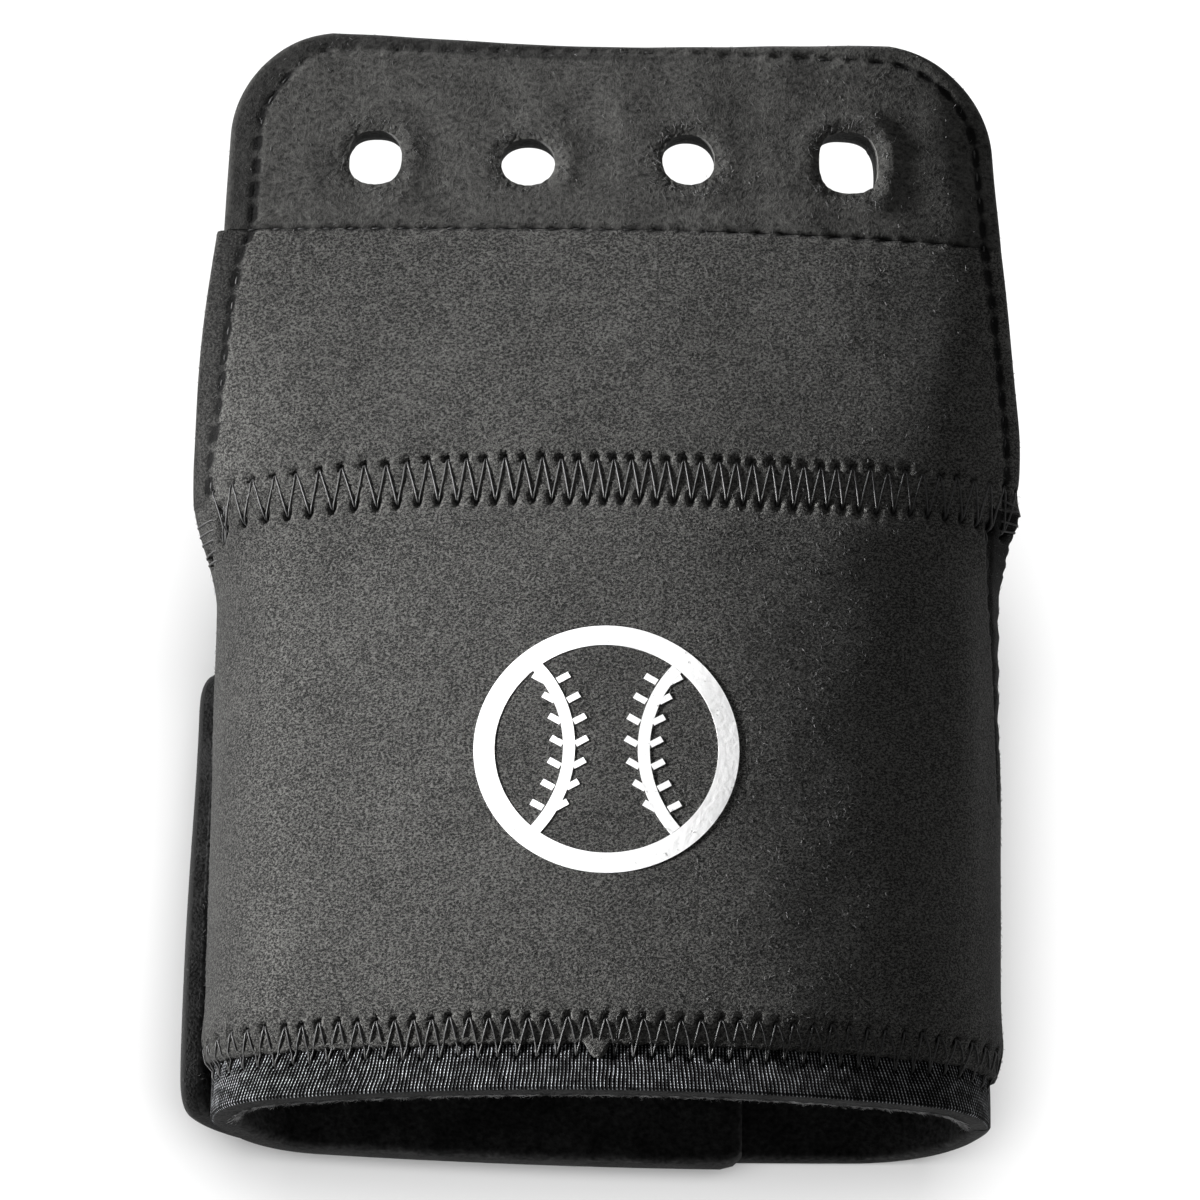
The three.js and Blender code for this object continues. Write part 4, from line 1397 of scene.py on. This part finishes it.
# The rim's fibres are made pale as a painted highlight, for the light they catch on the rim's lower lip.
rim_fibre = fibre_finish("rim_fibre", 0.08, 0.5)


def cloth_faces(piece):
    """Where each face of a piece lies on the flat cloth, and which of its finishes it has."""
    uv = np.empty(len(piece.data.loops) * 2)
    piece.data.uv_layers["cloth"].data.foreach_get("uv", uv)
    finish = np.empty(len(piece.data.polygons), int)
    piece.data.polygons.foreach_get("material_index", finish)
    s, y = uv.reshape(-1, 4, 2).mean(1).T
    return s, y, finish


def fuzz(name, piece, slot, chance, count, sizes, seed):
    """Strands rooted at random on a piece, more where the chance is high."""
    random = np.random.default_rng(seed)
    mesh = piece.data
    corners = np.empty(len(mesh.loops), int)
    mesh.loops.foreach_get("vertex_index", corners)
    area = np.empty(len(mesh.polygons))
    mesh.polygons.foreach_get("area", area)
    normals = np.empty(len(mesh.polygons) * 3)
    mesh.polygons.foreach_get("normal", normals)
    share = area * chance
    chosen = random.choice(len(area), count, p=share / share.sum())
    across, along = random.random((2, count, 1))
    quad = points_of(piece)[corners.reshape(-1, 4)[chosen]]
    root = mix(mix(quad[:, 0], quad[:, 1], across), mix(quad[:, 3], quad[:, 2], across), along)
    up = normals.reshape(-1, 3)[chosen]
    way = random.normal(size=(count, 3)) + sizes["towards"]
    way -= (way * up).sum(1, keepdims=True) * up
    way /= np.linalg.norm(way, axis=1, keepdims=True)
    side = np.cross(way, up)
    long = MM * random.uniform(*sizes["long"], (count, 1))
    lift = random.uniform(*sizes["lift"], (count, 1))
    curl = random.uniform(-1, 1, (count, 1)) * sizes["curl"]
    thick = MM * sizes["thick"] / 2

    def spine(at):
        """Where the strands' middles lie, part of the way along them."""
        arch = at * (FIBRE_ARCH["rise"] - FIBRE_ARCH["fall"] * at)
        return root + long * (way * at + side * curl * at**2 + up * lift * arch)

    rings = []
    for row in FIBRE_RINGS:
        for turn in (0, 2 * math.pi / 3, 4 * math.pi / 3):
            out = up * math.cos(turn) + side * math.sin(turn)
            rings.append(spine(row["at"]) + thick * row["thick"] * out)
    rings.append(spine(1))
    points = np.stack(rings, axis=1).reshape(-1, 3)
    strand = [(0, 2, 1)]
    for ring in (0, 3):
        for corner in range(3):
            after = (corner + 1) % 3
            strand.append((ring + corner, ring + after, ring + 3 + after, ring + 3 + corner))
    strand += [(6, 7, 9), (7, 8, 9), (8, 6, 9)]
    faces = []
    for start in range(0, len(points), len(rings)):
        faces += [tuple(start + corner for corner in one) for one in strand]
    made = bpy.data.meshes.new(name)
    made.from_pydata(points.tolist(), [], faces)
    tufts = bpy.data.objects.new(name, made)
    bpy.context.collection.objects.link(tufts)
    made.materials.append(sizes["finish"])
    return finish_piece(tufts, slot, angle=80)


any_way = {"towards": (0, 0, 0), "finish": fibre}
out_of_rim = {"towards": (0, -1.6, 0), "finish": rim_fibre}
NAP = {"long": (0.25, 0.6), "lift": (0.1, 0.4), "curl": 0.7, "thick": 0.05, **any_way}
LIP_FUZZ = {"long": (0.4, 1.0), "lift": (0.0, 0.25), "curl": 0.5, "thick": 0.04, **any_way}
PILE_FUZZ = {"long": (0.2, 0.6), "lift": (0.3, 1.0), "curl": 0.8, "thick": 0.05, **any_way}
RIM_FUZZ = {"long": (0.35, 0.9), "lift": (0.0, 0.4), "curl": 0.8, "thick": 0.07, **out_of_rim}
s, y, side = cloth_faces(panel)
fuzz("panel_nap", panel, "suede", 1.0 * (side == 0), count=7000, sizes=NAP, seed=41)
s, y, side = cloth_faces(shell)
fuzz("flap_nap", shell, "suede", 1.0 * (side == 0), count=1500, sizes=NAP, seed=42)
s, y, side = cloth_faces(strip)
gap = nearest_hole(s, y)
away = (side == 0) * (gap > 0.5)
fuzz("strip_nap", strip, "strip_suede", away, count=500, sizes=NAP, seed=43)
near_hole = (side == 0) * (gap > 0.3) * np.exp(-((gap / 1.5) ** 2))
fuzz("hole_fuzz", strip, "strip_suede", near_hole, count=700, sizes=LIP_FUZZ, seed=44)
s, y, side = cloth_faces(sleeve)
at_rim = (side == 1) * (y < sleeve_bottom(s) + 0.4) * (np.abs(s) < side_reach)
fuzz("rim_fuzz", sleeve, "knit", at_rim, count=2600, sizes=RIM_FUZZ, seed=45)
s, y, side = cloth_faces(strap)
at_end = (side == 1) * (s > strap_length - 9)
fuzz("strap_fuzz", strap, "strap_knit", at_end, count=700, sizes=PILE_FUZZ, seed=46)

# Floor, lights and camera: a plain pale floor with its own soft light, a weak lamp above, and a soft box
# low on the left, whose narrow beam passes over the floor and grazes the front of the guard.
# The camera looks down at the front from the side of the lower rim, as in a catalogue picture.
FLOOR = {"half": 2.0, "drop": 0.00005, "grey": (0.86, 0.86, 0.86, 1)}
LAMPS_AIM = (0, 0.03, 0.02)
VIEW = {"elevation": 71.5, "roll": 0.7, "distance": 0.9, "lens": 235.7, "aim": (-0.00092, 0.0334, 0.0214)}
KEY = {"turn": 172, "rise": 13, "distance": 0.5, "size": 0.4, "spread": 9, "shift": 0.189, "power": 3.2}
TOP = {"turn": 105, "rise": 62, "distance": 0.9, "size": 0.12, "spread": 180, "shift": 0, "power": 1.3}
WASH = {"turn": 0, "rise": 90, "distance": 1.5, "size": 2.0, "spread": 180, "shift": 0, "power": 46}
SKY = 0.13

bpy.ops.object.select_all(action="DESELECT")
bpy.ops.mesh.primitive_plane_add(size=2 * FLOOR["half"], location=(0, 0, -FLOOR["drop"]))
floor = bpy.context.object
floor.name = "floor"
floor.data.materials.append(new_finish("floor", Roughness=0.9, Base_Color=FLOOR["grey"])[0])


def from_angles(turn, rise, distance):
    """A place round the guard, from its turn and its rise in degrees."""
    turn = math.radians(turn)
    rise = math.radians(rise)
    level = distance * math.cos(rise)
    return np.array([level * math.cos(turn), level * math.sin(turn), distance * math.sin(rise)])


def lamp(name, sizes, floor_state):
    """A square soft box, which lights the floor alone or everything but the floor."""
    light = bpy.data.lights.new(name, "AREA")
    light.shape = "SQUARE"
    light.size = sizes["size"]
    light.spread = math.radians(sizes["spread"])
    light.energy = sizes["power"]
    holder = bpy.data.objects.new(name, light)
    bpy.context.collection.objects.link(holder)
    away = from_angles(sizes["turn"], sizes["rise"], sizes["distance"])
    upward = from_angles(sizes["turn"], sizes["rise"] + 90, sizes["shift"])
    holder.location = away + upward + np.array(LAMPS_AIM)
    holder.rotation_euler = [math.radians(90 - sizes["rise"]), 0, math.radians(90 + sizes["turn"])]
    holder.visible_camera = False
    lit = bpy.data.collections.new(name + "_lights")
    lit.objects.link(floor)
    lit.collection_objects[0].light_linking.link_state = floor_state
    holder.light_linking.receiver_collection = lit
    return holder


lamp("key", KEY, "EXCLUDE")
lamp("top", TOP, "EXCLUDE")
wash = lamp("wash", WASH, "INCLUDE")
shading = bpy.data.collections.new("wash_shadows")
for piece in (sleeve, strap, panel):
    shading.objects.link(piece)
wash.light_linking.blocker_collection = shading
world = bpy.data.worlds.new("studio")
world.use_nodes = True
world.node_tree.nodes["Background"].inputs["Color"].default_value = (1, 1, 1, 1)
world.node_tree.nodes["Background"].inputs["Strength"].default_value = SKY
bpy.context.scene.world = world
bpy.context.scene.view_settings.view_transform = "Standard"

camera_data = bpy.data.cameras.new("camera")
camera_data.lens = VIEW["lens"]
camera_data.clip_end = 20
camera = bpy.data.objects.new("camera", camera_data)
bpy.context.collection.objects.link(camera)
camera.location = np.array(VIEW["aim"]) + from_angles(-90, VIEW["elevation"], VIEW["distance"])
tilt = Matrix.Rotation(math.radians(90 - VIEW["elevation"]), 3, "X")
roll = Matrix.Rotation(math.radians(VIEW["roll"]), 3, "Z")
camera.rotation_euler = (tilt @ roll).to_euler()
bpy.context.scene.camera = camera
